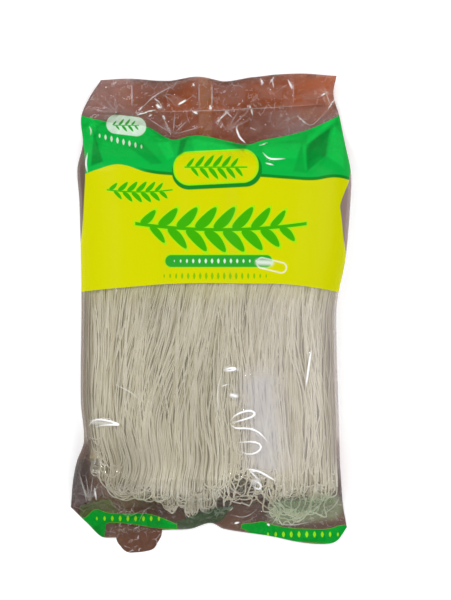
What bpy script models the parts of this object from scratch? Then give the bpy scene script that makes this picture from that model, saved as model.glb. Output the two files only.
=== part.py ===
"""A sealed film bag of dried rice vermicelli, lying on its back, as one solid.

The bag is a flat tube of film around a block of long noodles. The upper end is an empty, crumpled
header, the middle is the block, and the lower end is a short foot with a rounded tail of film.
X runs across the bag, Y along it towards the header, and Z up from the surface it lies on.
"""

import math

import bmesh
import bpy
from mathutils import Vector, noise
from mathutils.bvhtree import BVHTree

MM = 0.001

# The block of noodles: its thickness, where its two ends begin to slope, and how long the slopes are
BLOCK_THICKNESS = 44 * MM
BLOCK_HEAD = 94 * MM
BLOCK_FOOT = -112 * MM
HEAD_SLOPE = 36 * MM
FOOT_SLOPE = 28 * MM
CROWN_DROP = 0.06

# The block is three hanks side by side, which leave shallow valleys between them
HANK_VALLEYS = (-24 * MM, 21 * MM)
VALLEY_DEPTH = 2.2 * MM
VALLEY_WIDTH = 9 * MM

# The empty ends: how far the two films stand apart, and how far the header lifts off the surface
HEADER_GAP = 7 * MM
FOOT_GAP = 4 * MM
HEADER_LIFT = 5 * MM
LEAST_GAP = 0.8 * MM

# The side fold: its thickness, its height beside the block and its height where the bag is empty
SEAM_HALF = 0.35 * MM
SEAM_SHARE = 0.36
SEAM_REST = 1.2 * MM
SEAM_LOWEST = 0.6 * MM
SIDE_SHOULDER = 5
END_SHOULDER = 0.03

# The underside lies flat out to this share of the half width, then curls up to the side fold
FLAT_SHARE = 0.5
END_CURL = 0.05
CURL_POWER = 3

# Loose folds of the empty film: broad waves with a finer ridged noise over them
WAVE_ACROSS = 17 * MM
WAVE_ALONG = 21 * MM
WAVE_SKEW = 60 * MM
WAVE_HEIGHT = 1.3 * MM
RIDGE_ACROSS = 16 * MM
RIDGE_ALONG = 13 * MM
RIDGE_HEIGHT = 1.6 * MM
RIDGE_LAYER = 4.7

# Outline of the film as (along the bag, distance from the axis) for its two long sides, in millimetres
LEFT_SIDE = ((-136, 97.3), (-118, 96.6), (-104, 94.0), (-90, 89.0), (-62, 91.5), (8, 91.5), (74, 92.4),
             (98, 93.6), (117, 89.6), (136, 91.0), (150, 85.0), (162, 77.0))
RIGHT_SIDE = ((-150, 94.5), (-133, 92.4), (-110, 90.3), (-80, 88.9), (-13, 86.8), (7, 87.5), (35, 93.1),
              (72, 96.6), (94, 97.3), (113, 94.5), (136, 90.3), (152, 85.8), (165, 88.0))
# Outline of its two ends as (across the bag, along the bag), in millimetres
HEADER_END = ((-77, 162), (-59, 163), (-30, 161.5), (-9, 164.5), (10, 161), (29, 163.8), (58, 166.6), (88, 165))
FOOT_END = ((-97.3, -136), (-86, -147), (-74, -157), (-35, -152), (-14, -151), (0, -147), (9, -151),
            (41, -156), (62, -160.3), (80, -161.5), (88, -159), (94.5, -150))

# The rounded tail of film that sticks out below the foot
TAIL_CENTRE = (-50.5 * MM, -151.5 * MM)
TAIL_HALF_WIDTH = 15.5 * MM
TAIL_REACH = 15 * MM
TAIL_LOW = 0.5 * MM
TAIL_THICKNESS = 2.4 * MM
TAIL_SIDE_ROUNDING = 0.6
TAIL_END_ROUNDING = 0.7
TAIL_STEPS = 20

# Faces of each film across and along the bag
ACROSS = 28
ALONG = 44

# Printed fields on the front: a green one over a yellow one, and green bands on the foot
YELLOW_TOP = 95 * MM
YELLOW_BOTTOM = 18 * MM
YELLOW_ARCH = 6 * MM
GREEN_TOP = 123 * MM
GREEN_WAVE = 7 * MM
GREEN_WAVE_LENGTH = 30 * MM
FOOT_BAND = (-158 * MM, -142 * MM)
FOOT_BAND_GAP = 22 * MM

# Noodles that press against the film as ridges, each one down the block and back
NOODLE_RADIUS = 0.6 * MM
NOODLE_PROUD = 0.12 * MM
HAIRPINS = 12
HAIRPIN_SPAN = 152 * MM
HAIRPIN_TOP = 14 * MM
LOOP_HALF_WIDTH = (2.6 * MM, 1.7 * MM)
LOOP_REACH = (14 * MM, 9 * MM)
LEG_LEAN = 7 * MM
LEG_SWAY = 1.4 * MM
LEG_SWAY_TURNS = 9
LEG_STEPS = 12
LEG_CROWDING = 1.9
TURN_STEPS = 5
ABOVE_BAG = 0.1


def smoothstep(low, high, value):
    """0 below low, 1 above high and a smooth ramp between them."""
    share = min(1.0, max(0.0, (value - low) / (high - low)))
    return share * share * (3 - 2 * share)


def bump(value, centre, width):
    """A bell of height 1 around centre."""
    return math.exp(-(((value - centre) / width) ** 2))


def through(stations, place):
    """Smooth curve through (place, value) stations in millimetres, read at a place in metres."""
    place = place / MM
    last = len(stations) - 2
    index = max([0] + [i for i in range(last + 1) if stations[i][0] <= place])
    (x0, y0), (x1, y1) = stations[index], stations[index + 1]
    before = stations[max(index - 1, 0)]
    after = stations[min(index + 2, last + 1)]
    slope0 = (y1 - before[1]) / (x1 - before[0])
    slope1 = (after[1] - y0) / (after[0] - x0)
    t = min(1.0, max(0.0, (place - x0) / (x1 - x0)))
    span = x1 - x0
    value = ((2 * t**3 - 3 * t**2 + 1) * y0 + (t**3 - 2 * t**2 + t) * span * slope0
             + (3 * t**2 - 2 * t**3) * y1 + (t**3 - t**2) * span * slope1)
    return value * MM


def outline_point(s, t):
    """Plan position at shares s across and t along, blended from the four edges of the film."""
    def side(stations, sign):
        along = (stations[0][0] + t * (stations[-1][0] - stations[0][0])) * MM
        return Vector((sign * through(stations, along), along))

    def end(stations):
        across = (stations[0][0] + s * (stations[-1][0] - stations[0][0])) * MM
        return Vector((across, through(stations, across)))

    left, right, foot, head = side(LEFT_SIDE, -1), side(RIGHT_SIDE, 1), end(FOOT_END), end(HEADER_END)
    corners = [Vector(p) * MM for p in (FOOT_END[0], FOOT_END[-1], HEADER_END[0], HEADER_END[-1])]
    bilinear = ((1 - t) * ((1 - s) * corners[0] + s * corners[1])
                + t * ((1 - s) * corners[2] + s * corners[3]))
    return (1 - s) * left + s * right + (1 - t) * foot + t * head - bilinear


def block_share(y):
    """How much of the block's thickness the bag has at a place along it, from 0 to 1."""
    foot = smoothstep(BLOCK_FOOT - FOOT_SLOPE, BLOCK_FOOT, y)
    head = 1 - smoothstep(BLOCK_HEAD, BLOCK_HEAD + HEAD_SLOPE, y)
    return foot * head


def header_share(y):
    """0 on the block and 1 on the empty header."""
    return smoothstep(BLOCK_HEAD + HEAD_SLOPE / 2, BLOCK_HEAD + 2 * HEAD_SLOPE, y)


def crumple(x, y):
    """Height of the loose folds of empty film."""
    broad = math.sin(x / WAVE_ACROSS) * math.sin(y / WAVE_ALONG + x / WAVE_SKEW)
    ridged = 1 - 2 * abs(noise.noise(Vector((x / RIDGE_ACROSS, y / RIDGE_ALONG, RIDGE_LAYER))))
    return WAVE_HEIGHT * broad + RIDGE_HEIGHT * ridged


def off_axis(s):
    """0 on the bag's long axis and 1 on its side folds."""
    return abs(2 * s - 1)


def seam_height(x, y):
    """Height of the film's side fold or end seam above the surface."""
    header = header_share(y)
    resting = SEAM_REST + header * (HEADER_LIFT + 0.8 * crumple(x, y))
    return max(SEAM_LOWEST, resting + SEAM_SHARE * BLOCK_THICKNESS * block_share(y))


def edge_fade(s, t):
    """1 inside the film and 0 on its outline, with a round shoulder."""
    side = 1 - off_axis(s) ** SIDE_SHOULDER
    ends = min(1.0, min(t, 1 - t) / END_SHOULDER)
    return math.sqrt(max(0.0, side * ends))


def upper_height(s, t, x, y):
    """Height of the printed front film."""
    block = block_share(y)
    valleys = sum(bump(x, centre, VALLEY_WIDTH) for centre in HANK_VALLEYS)
    crown = BLOCK_THICKNESS * (1 - CROWN_DROP * off_axis(s) ** 2) - valleys * VALLEY_DEPTH
    gap = HEADER_GAP if y > 0 else FOOT_GAP
    seam = seam_height(x, y)
    empty = seam + gap + (1 - block) * crumple(x, y)
    peak = block * crown + (1 - block) * empty
    return seam + SEAM_HALF + edge_fade(s, t) * max(LEAST_GAP, peak - seam)


def lower_height(s, t, x, y):
    """Height of the back film: flat on the surface beneath the block, up to the seam at its edges."""
    near_side = max(0.0, (off_axis(s) - FLAT_SHARE) / (1 - FLAT_SHARE))
    near_end = max(0.0, 1 - min(t, 1 - t) / END_CURL)
    curl = 1 - math.sqrt(max(0.0, 1 - max(near_side, near_end) ** CURL_POWER))
    lift = header_share(y) * (0.6 * HEADER_LIFT + 0.5 * max(0.0, crumple(x, y)))
    return curl * (seam_height(x, y) - SEAM_HALF) + (1 - curl) * lift


def colour_slot(x, y, s):
    """Index of the finish on the upper film: 0 clear over noodles, 1 green, 2 yellow, 3 empty film."""
    if FOOT_BAND[0] < y < FOOT_BAND[1] and abs(x) > FOOT_BAND_GAP:
        return 1
    if y > GREEN_TOP + GREEN_WAVE * math.cos(x / GREEN_WAVE_LENGTH) or y < BLOCK_FOOT - FOOT_SLOPE:
        return 3
    if y > YELLOW_TOP:
        return 1
    return 2 if y > YELLOW_BOTTOM - YELLOW_ARCH * off_axis(s) ** 3 else 0


def finish(name, colour, roughness):
    """A plain material of one colour."""
    material = bpy.data.materials.new(name)
    material.use_nodes = True
    shader = material.node_tree.nodes["Principled BSDF"]
    shader.inputs["Base Color"].default_value = (*colour, 1)
    shader.inputs["Roughness"].default_value = roughness
    shader.inputs["Metallic"].default_value = 0
    return material


def film_grid(mesh, height):
    """Rows of vertices of one film, from the foot to the header."""
    rows = []
    for j in range(ALONG + 1):
        row = []
        for i in range(ACROSS + 1):
            s, t = i / ACROSS, j / ALONG
            x, y = outline_point(s, t)
            row.append(mesh.verts.new((x, y, height(s, t, x, y))))
        rows.append(row)
    return rows


def close_rim(mesh, upper, lower, slot):
    """Thin faces all round that join the edges of the two films."""
    rim = [(j, 0) for j in range(ALONG, 0, -1)] + [(0, i) for i in range(ACROSS)]
    rim += [(j, ACROSS) for j in range(ALONG)] + [(ALONG, i) for i in range(ACROSS, 0, -1)]
    for (j0, i0), (j1, i1) in zip(rim, rim[1:] + rim[:1]):
        seam = mesh.faces.new((upper[j0][i0], lower[j0][i0], lower[j1][i1], upper[j1][i1]))
        seam.material_index = slot


def flatten_base(mesh):
    """Turn the many coplanar faces that rest on the surface into one."""
    flat = [f for f in mesh.faces if max(v.co.z for v in f.verts) < 0.02 * MM]
    edges = {e for f in flat for e in f.edges}
    inner = [e for e in edges if all(f in flat for f in e.link_faces)]
    bmesh.ops.dissolve_edges(mesh, edges=inner, use_verts=True)


def build_bag(materials):
    """Upper and lower film as two grids with the same outline, joined by a thin seam."""
    mesh = bmesh.new()
    upper = film_grid(mesh, upper_height)
    lower = film_grid(mesh, lower_height)
    empty_film = len(materials) - 1
    for j in range(ALONG):
        for i in range(ACROSS):
            face = mesh.faces.new((upper[j][i], upper[j][i + 1], upper[j + 1][i + 1], upper[j + 1][i]))
            centre = face.calc_center_median()
            face.material_index = colour_slot(centre.x, centre.y, (i + 0.5) / ACROSS)
            under = mesh.faces.new((lower[j][i], lower[j + 1][i], lower[j + 1][i + 1], lower[j][i + 1]))
            under.material_index = empty_film
    close_rim(mesh, upper, lower, empty_film)
    flatten_base(mesh)
    bmesh.ops.triangulate(mesh, faces=mesh.faces[:])
    bmesh.ops.recalc_face_normals(mesh, faces=mesh.faces[:])
    data = bpy.data.meshes.new("vermicelli_bag")
    mesh.to_mesh(data)
    mesh.free()
    for material in materials:
        data.materials.append(material)
    bag = bpy.data.objects.new("vermicelli_bag", data)
    bpy.context.scene.collection.objects.link(bag)
    return bag


def surface_point(film, x, y):
    """Point just proud of the upper film above a place in plan."""
    hit = film.ray_cast(Vector((x, y, ABOVE_BAG)), Vector((0, 0, -1)))[0]
    return (x, y, hit.z + NOODLE_PROUD)


def hairpin_route(index):
    """A noodle that runs down the block, turns in a loop at the foot and runs back.

    Its points lie closer together towards the foot, where the film curves down.
    """
    centre = HAIRPIN_SPAN * ((index + 0.5) / HAIRPINS - 0.5)
    loop = LOOP_HALF_WIDTH[0] + LOOP_HALF_WIDTH[1] * math.sin(2.1 * index)
    foot = BLOCK_FOOT - LOOP_REACH[0] - LOOP_REACH[1] * math.sin(1.7 * index)
    lean = LEG_LEAN * math.sin(0.9 * index + 0.5)
    legs = []
    for side in (-1, 1):
        leg = []
        for k in range(LEG_STEPS):
            along = 1 - (1 - k / LEG_STEPS) ** LEG_CROWDING
            spread = loop * side * (0.7 + 0.3 * along)
            sway = LEG_SWAY * math.sin(LEG_SWAY_TURNS * along + index + side)
            x = centre + spread + (lean + sway) * (1 - along)
            leg.append((x, HAIRPIN_TOP + (foot - HAIRPIN_TOP) * along))
        legs.append(leg)
    angles = [math.pi * (k + 0.5) / TURN_STEPS for k in range(TURN_STEPS)]
    turn = [(centre - loop * math.cos(a), foot - loop * math.sin(a)) for a in angles]
    return legs[0] + turn + legs[1][::-1]


def build_noodle(film, index, material):
    """One hairpin as a closed tube that lies along the film."""
    curve = bpy.data.curves.new(f"noodle_{index}", "CURVE")
    curve.dimensions = "3D"
    curve.bevel_depth = NOODLE_RADIUS
    curve.bevel_resolution = 0
    curve.use_fill_caps = True
    route = hairpin_route(index)
    spline = curve.splines.new("POLY")
    spline.points.add(len(route) - 1)
    for point, (x, y) in zip(spline.points, route):
        point.co = (*surface_point(film, x, y), 1)
    draft = bpy.data.objects.new("draft", curve)
    bpy.context.scene.collection.objects.link(draft)
    bpy.context.view_layer.update()
    data = bpy.data.meshes.new_from_object(draft.evaluated_get(bpy.context.evaluated_depsgraph_get()))
    bpy.data.objects.remove(draft)
    weld = bmesh.new()
    weld.from_mesh(data)
    bmesh.ops.remove_doubles(weld, verts=weld.verts, dist=0.01 * MM)
    bmesh.ops.recalc_face_normals(weld, faces=weld.faces)
    weld.to_mesh(data)
    weld.free()
    data.materials.append(material)
    return bpy.data.objects.new(f"noodle_{index}", data)


def build_tail(material):
    """The flat round-ended tail, its upper and lower faces and its rim."""
    outline = []
    for k in range(TAIL_STEPS):
        angle = 2 * math.pi * k / TAIL_STEPS
        across = math.copysign(abs(math.cos(angle)) ** TAIL_SIDE_ROUNDING, math.cos(angle))
        along = math.copysign(abs(math.sin(angle)) ** TAIL_END_ROUNDING, math.sin(angle))
        outline.append((TAIL_CENTRE[0] + TAIL_HALF_WIDTH * across, TAIL_CENTRE[1] + TAIL_REACH * along))
    mesh = bmesh.new()
    lower = [mesh.verts.new((x, y, TAIL_LOW)) for x, y in outline]
    upper = [mesh.verts.new((x, y, TAIL_LOW + TAIL_THICKNESS)) for x, y in outline]
    mesh.faces.new(upper)
    mesh.faces.new(lower[::-1])
    for k in range(TAIL_STEPS):
        after = (k + 1) % TAIL_STEPS
        mesh.faces.new((lower[k], lower[after], upper[after], upper[k]))
    bmesh.ops.recalc_face_normals(mesh, faces=mesh.faces[:])
    data = bpy.data.meshes.new("film_tail")
    mesh.to_mesh(data)
    mesh.free()
    data.materials.append(material)
    return bpy.data.objects.new("film_tail", data)


def fuse(bag, group):
    """One Boolean union of the bag with everything in the group, which is then removed."""
    union = bag.modifiers.new("fuse", "BOOLEAN")
    union.operation = "UNION"
    union.operand_type = "COLLECTION"
    union.collection = group
    union.solver = "EXACT"
    bpy.context.view_layer.update()
    joined = bpy.data.meshes.new_from_object(bag.evaluated_get(bpy.context.evaluated_depsgraph_get()))
    bag.modifiers.clear()
    bag.data = joined
    joined.name = "vermicelli_bag"
    for piece in list(group.objects):
        bpy.data.objects.remove(piece)
    bpy.data.collections.remove(group)


def main():
    for old in list(bpy.data.objects):
        bpy.data.objects.remove(old)
    noodle = finish("rice_noodle", (0.55, 0.50, 0.39), 0.5)
    green = finish("green_ink", (0.01, 0.42, 0.06), 0.3)
    yellow = finish("yellow_ink", (0.66, 0.70, 0.01), 0.3)
    film = finish("empty_film", (0.24, 0.12, 0.09), 0.2)
    bag = build_bag((noodle, green, yellow, film))
    surface = BVHTree.FromObject(bag, bpy.context.evaluated_depsgraph_get())
    group = bpy.data.collections.new("fused")
    bpy.context.scene.collection.children.link(group)
    for index in range(HAIRPINS):
        group.objects.link(build_noodle(surface, index, noodle))
    group.objects.link(build_tail(film))
    fuse(bag, group)
    bag.data.shade_smooth()
    bag.data.set_sharp_from_angle(angle=math.radians(35))


main()
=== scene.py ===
# %% [markdown]
# A sealed bag of dried rice vermicelli, lying on its back on a pale table. The real thing has three
# parts to look at: a thin, shiny, printed film, a block of long noodles that are folded over at the
# foot, and the dark inside of the block that shows between them. This lesson makes them in that order
# of size: first the measurements, then the film with its print, then the noodles, then the light.
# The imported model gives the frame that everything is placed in.

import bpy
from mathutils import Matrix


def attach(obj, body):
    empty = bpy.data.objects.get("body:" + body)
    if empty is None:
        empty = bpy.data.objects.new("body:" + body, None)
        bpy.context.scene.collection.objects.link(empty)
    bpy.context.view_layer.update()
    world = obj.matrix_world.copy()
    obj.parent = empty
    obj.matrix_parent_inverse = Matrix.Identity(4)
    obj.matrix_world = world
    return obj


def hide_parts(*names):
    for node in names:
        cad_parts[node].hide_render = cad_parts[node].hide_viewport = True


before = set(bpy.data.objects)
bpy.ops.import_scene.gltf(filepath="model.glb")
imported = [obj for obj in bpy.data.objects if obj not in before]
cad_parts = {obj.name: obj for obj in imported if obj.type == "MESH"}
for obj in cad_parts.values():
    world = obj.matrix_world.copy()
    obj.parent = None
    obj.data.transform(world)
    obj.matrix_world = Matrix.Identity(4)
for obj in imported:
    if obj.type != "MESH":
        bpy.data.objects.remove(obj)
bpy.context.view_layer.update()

# %% [markdown]
# Lengths are in metres, so a millimetre gets a name. Two small helpers serve every piece: one links it
# to the scene, and one says that it rides on the bag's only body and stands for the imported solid.

# %% Tools of the lesson
import math

import bmesh
import bpy
import numpy as np
from mathutils import Vector, geometry, noise
from mathutils.bvhtree import BVHTree

MM = 0.001
BAG = "vermicelli_bag"


def link_piece(name, mesh, materials=()):
    """An object at the origin for a finished mesh."""
    for material in materials:
        mesh.materials.append(material)
    piece = bpy.data.objects.new(name, mesh)
    bpy.context.scene.collection.objects.link(piece)
    return piece


def ride_in_bag(piece):
    """The bag is one body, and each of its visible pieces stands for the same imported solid."""
    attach(piece, "root")
    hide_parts(BAG)
    print(piece.name, "has", sum(len(p.vertices) - 2 for p in piece.data.polygons), "triangles")
    return piece


# %% [markdown]
# The camera looks straight down on the bag but for a few degrees, as the photograph was taken. On a
# long lens the bag keeps its proportions. A pixel is nearly 0.7 mm on the table, so the 600 pixel frame
# is 417 mm high there, and that sets the lens.

# %% Camera
FRAME_HEIGHT = 417 * MM
CAMERA_TARGET = Vector((10.2 * MM, 7.7 * MM, 9 * MM))
CAMERA_DISTANCE = 1.5
CAMERA_ELEVATION = math.radians(87)

camera = bpy.data.objects.new("camera", bpy.data.cameras.new("camera"))
bpy.context.scene.collection.objects.link(camera)
camera.data.lens = camera.data.sensor_width * CAMERA_DISTANCE / FRAME_HEIGHT
back = Vector((0, -math.cos(CAMERA_ELEVATION), math.sin(CAMERA_ELEVATION)))
camera.location = CAMERA_TARGET + CAMERA_DISTANCE * back
camera.rotation_euler = (math.pi / 2 - CAMERA_ELEVATION, 0, 0)
bpy.context.scene.camera = camera
EYE = camera.location.copy()
print("lens", round(camera.data.lens, 1), "mm")


def as_seen(x, y, z):
    """Where a point shows on the table's plane from the eye of the photograph."""
    stretch = EYE.z / (EYE.z - z)
    return EYE.x + (x - EYE.x) * stretch, EYE.y + (y - EYE.y) * stretch


# %% [markdown]
# The bag's form comes from a few measurements. Its outline is four smooth edges through measured
# stations, and its thickness follows the block: full in the middle, sloping at the head and the foot,
# nearly flat in the empty header. The solid was made from the same numbers, and the film lies up to
# 3 mm inside it along the two long sides, where the photograph was measured once more.

# %% Measurements of the bag
BLOCK_THICKNESS = 44 * MM
BLOCK_HEAD = 94 * MM
BLOCK_FOOT = -112 * MM
HEAD_SLOPE = 36 * MM
FOOT_SLOPE = 28 * MM
CROWN_DROP = 0.06
HANK_VALLEYS = (-24 * MM, 21 * MM)
VALLEY_DEPTH = 2.2 * MM
VALLEY_WIDTH = 9 * MM
HEADER_GAP = 7 * MM
FOOT_GAP = 4 * MM
HEADER_LIFT = 5 * MM
LEAST_GAP = 0.8 * MM
SEAM_HALF = 0.15 * MM
SEAM_SHARE = 0.36
SEAM_REST = 1.2 * MM
SEAM_LOWEST = 0.6 * MM
LEFT_SIDE = ((-136, 97.3), (-118, 95.0), (-104, 92.2), (-90, 87.4), (-62, 89.6), (8, 89.4), (74, 91.0),
             (98, 92.6), (117, 89.6), (136, 91.0), (150, 85.0), (162, 77.0))
RIGHT_SIDE = ((-150, 94.5), (-133, 91.6), (-110, 89.3), (-80, 88.5), (-13, 86.8), (7, 87.5), (35, 93.1),
              (72, 96.6), (94, 97.3), (113, 94.5), (136, 90.3), (152, 85.8), (165, 88.0))
HEADER_END = ((-77, 162), (-59, 163), (-30, 161.5), (-9, 164.5), (10, 161), (29, 163.8), (58, 166.6),
              (88, 165))
FOOT_END = ((-97.3, -136), (-86, -147), (-74, -157), (-35, -152), (-14, -151), (0, -147), (9, -151),
            (41, -156), (62, -160.3), (80, -161.5), (88, -159), (94.5, -150))


def smoothstep(low, high, value):
    """0 below low, 1 above high and a smooth ramp between them."""
    share = np.clip((value - low) / (high - low), 0, 1)
    return share * share * (3 - 2 * share)


def bump(value, centre, width):
    """A bell of height 1 around centre."""
    return np.exp(-(((value - centre) / width) ** 2))


def through(stations, share):
    """Smooth curve through (place, value) stations, read at a share of the way from first to last."""
    places, values = np.array(stations).T * MM
    before = np.maximum(np.arange(len(places)) - 1, 0)
    after = np.minimum(np.arange(len(places)) + 1, len(places) - 1)
    slopes = (values[after] - values[before]) / (places[after] - places[before])
    place = places[0] + share * (places[-1] - places[0])
    k = np.clip(np.searchsorted(places, place, side="right") - 1, 0, len(places) - 2)
    span = places[k + 1] - places[k]
    t = np.clip((place - places[k]) / span, 0, 1)
    return ((2 * t**3 - 3 * t**2 + 1) * values[k] + (t**3 - 2 * t**2 + t) * span * slopes[k]
            + (3 * t**2 - 2 * t**3) * values[k + 1] + (t**3 - t**2) * span * slopes[k + 1])


def in_plan(s, t):
    """Place in plan at shares s across the bag and t along it."""
    x = (s - 1) * through(LEFT_SIDE, t) + s * through(RIGHT_SIDE, t)
    y = (1 - t) * through(FOOT_END, s) + t * through(HEADER_END, s)
    return x, y


def block_share(y):
    """How much of the block's thickness the bag has at a place along it, from 0 to 1."""
    foot = smoothstep(BLOCK_FOOT - FOOT_SLOPE, BLOCK_FOOT, y)
    return foot * (1 - smoothstep(BLOCK_HEAD, BLOCK_HEAD + HEAD_SLOPE, y))


def header_share(y):
    """0 on the block and 1 on the empty header."""
    return smoothstep(BLOCK_HEAD + HEAD_SLOPE / 2, BLOCK_HEAD + 2 * HEAD_SLOPE, y)


def noise_at(x, y, across, along, layer):
    """Smooth noise over the plan, with its own grain size across and along the bag."""
    flat = [noise.noise(Vector((a / across, b / along, layer))) for a, b in zip(x.ravel(), y.ravel())]
    return np.array(flat).reshape(x.shape)


def crumple(x, y):
    """Height of the loose folds of empty film."""
    broad = np.sin(x / (17 * MM)) * np.sin(y / (21 * MM) + x / (60 * MM))
    return 1.3 * MM * broad + 1.6 * MM * (1 - 2 * np.abs(noise_at(x, y, 16 * MM, 13 * MM, 4.7)))


def off_axis(s):
    """0 on the bag's long axis and 1 on its side folds."""
    return np.abs(2 * s - 1)


def front_and_back(s, t, x, y):
    """Heights of the two films, the front one over the block and the back one under it."""
    folds, block, header = crumple(x, y), block_share(y), header_share(y)
    seam = SEAM_REST + header * (HEADER_LIFT + 0.8 * folds) + SEAM_SHARE * BLOCK_THICKNESS * block
    seam = np.maximum(SEAM_LOWEST, seam)
    valleys = sum(bump(x, centre, VALLEY_WIDTH) for centre in HANK_VALLEYS)
    crown = BLOCK_THICKNESS * (1 - CROWN_DROP * off_axis(s) ** 2) - valleys * VALLEY_DEPTH
    empty = seam + np.where(y > 0, HEADER_GAP, FOOT_GAP) + (1 - block) * folds
    peak = block * crown + (1 - block) * empty
    fade = np.sqrt(np.clip((1 - off_axis(s) ** 5) * np.clip(np.minimum(t, 1 - t) / 0.03, 0, 1), 0, 1))
    front = seam + SEAM_HALF + fade * np.maximum(LEAST_GAP, peak - seam)
    near = np.maximum((off_axis(s) - 0.5) / 0.5, 1 - np.minimum(t, 1 - t) / 0.05)
    curl = 1 - np.sqrt(1 - np.clip(near, 0, 1) ** 3)
    lift = header * (0.6 * HEADER_LIFT + 0.5 * np.maximum(0, folds))
    return front, curl * (seam - SEAM_HALF) + (1 - curl) * lift


print("the block is", round((BLOCK_HEAD - BLOCK_FOOT) / MM), "mm long where it is thickest")

# %% [markdown]
# Film that has been packed, dropped and pressed isn't smooth. Where it is empty it is crumpled, which
# means flat facets between sharp folds. That is easy to make: scatter points, give each a height, join
# them into triangles, and read the height of that faceted sheet under every point of the film. Over
# the noodles the film is tight, with shallow ripples along them.

# %% Facets and creases
rng = np.random.default_rng(7)


def facets(x, y, spacing, height):
    """Heights of a crumpled sheet: flat triangles between points that lie about spacing apart."""
    low, high = np.array((x.min(), y.min())) - 2 * spacing, np.array((x.max(), y.max())) + 2 * spacing
    columns, rows = np.ceil((high - low) / spacing).astype(int)
    grid = np.stack(np.meshgrid(np.arange(columns), np.arange(rows)), -1).reshape(-1, 2)
    plan = low + spacing * (grid + rng.uniform(-0.42, 0.42, grid.shape))
    lift = height * rng.uniform(-1, 1, len(plan))
    made = geometry.delaunay_2d_cdt([Vector(p) for p in plan], [], [], 0, 1e-7)
    corners = [(v.x, v.y, lift[ids[0]]) for v, ids in zip(made[0], made[3])]
    sheet = BVHTree.FromPolygons(corners, made[2])
    down = Vector((0, 0, -1))
    flat = [sheet.ray_cast(Vector((a, b, 0.1)), down)[0].z for a, b in zip(x.ravel(), y.ravel())]
    return np.array(flat).reshape(x.shape)


RUB_REACH = (0.95 * MM, 1.5 * MM)


def crease(x, y, path, height, width):
    """A thin fold along a path in millimetres: its height, its strength and the signed distance to it."""
    stations = np.array(path, dtype=float) * MM
    steps = np.concatenate(([0], np.cumsum(np.hypot(*np.diff(stations, axis=0).T))))
    read = np.linspace(0, steps[-1], max(8, int(steps[-1] / (3 * MM))))
    line = np.stack([np.interp(read, steps, stations[:, k]) for k in (0, 1)], -1)
    for _ in range(2):
        line[1:-1] = (line[:-2] + 2 * line[1:-1] + line[2:]) / 4
    beside, along = np.full(x.shape, 1.0), np.zeros(x.shape)
    for k, (a, b) in enumerate(zip(line, line[1:])):
        run = b - a
        share = np.clip(((x - a[0]) * run[0] + (y - a[1]) * run[1]) / (run @ run), 0, 1)
        distance = np.hypot(x - a[0] - share * run[0], y - a[1] - share * run[1])
        closer = distance < np.abs(beside)
        beside = np.where(closer, np.copysign(distance, run[0] * (y - a[1]) - run[1] * (x - a[0])), beside)
        along = np.where(closer, (k + share) / (len(line) - 1), along)
    taper = np.clip(np.sin(math.pi * along), 0, 1) ** 0.5
    strength = taper * (1 - smoothstep(*RUB_REACH, np.abs(beside)))
    return height * MM * taper * bump(beside, 0, width * MM), strength, beside


def patch_of(x, y, corners):
    """1 inside a convex outline given in millimetres, with a soft edge."""
    ring = np.array(corners, dtype=float) * MM
    middle, inner = ring.mean(axis=0), np.full(x.shape, 1.0)
    for a, run in zip(ring, np.roll(ring, -1, axis=0) - ring):
        side = run[0] * (middle[1] - a[1]) - run[1] * (middle[0] - a[0])
        reach = (run[0] * (y - a[1]) - run[1] * (x - a[0])) / np.hypot(*run)
        inner = np.minimum(inner, reach * np.sign(side))
    return smoothstep(-0.5 * MM, 1.3 * MM, inner)


# %% [markdown]
# The folds and facets of this bag are tables, so that one row can be changed after a look at the
# photograph. The folds in the window carry thin white lines painted on the film: painted highlights.

# %% Folds and facets of this bag
def fan(centre, tips, height, width, rub):
    """Folds that spread from one point."""
    return tuple(((centre, tip), height, width, rub) for tip in tips)
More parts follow.
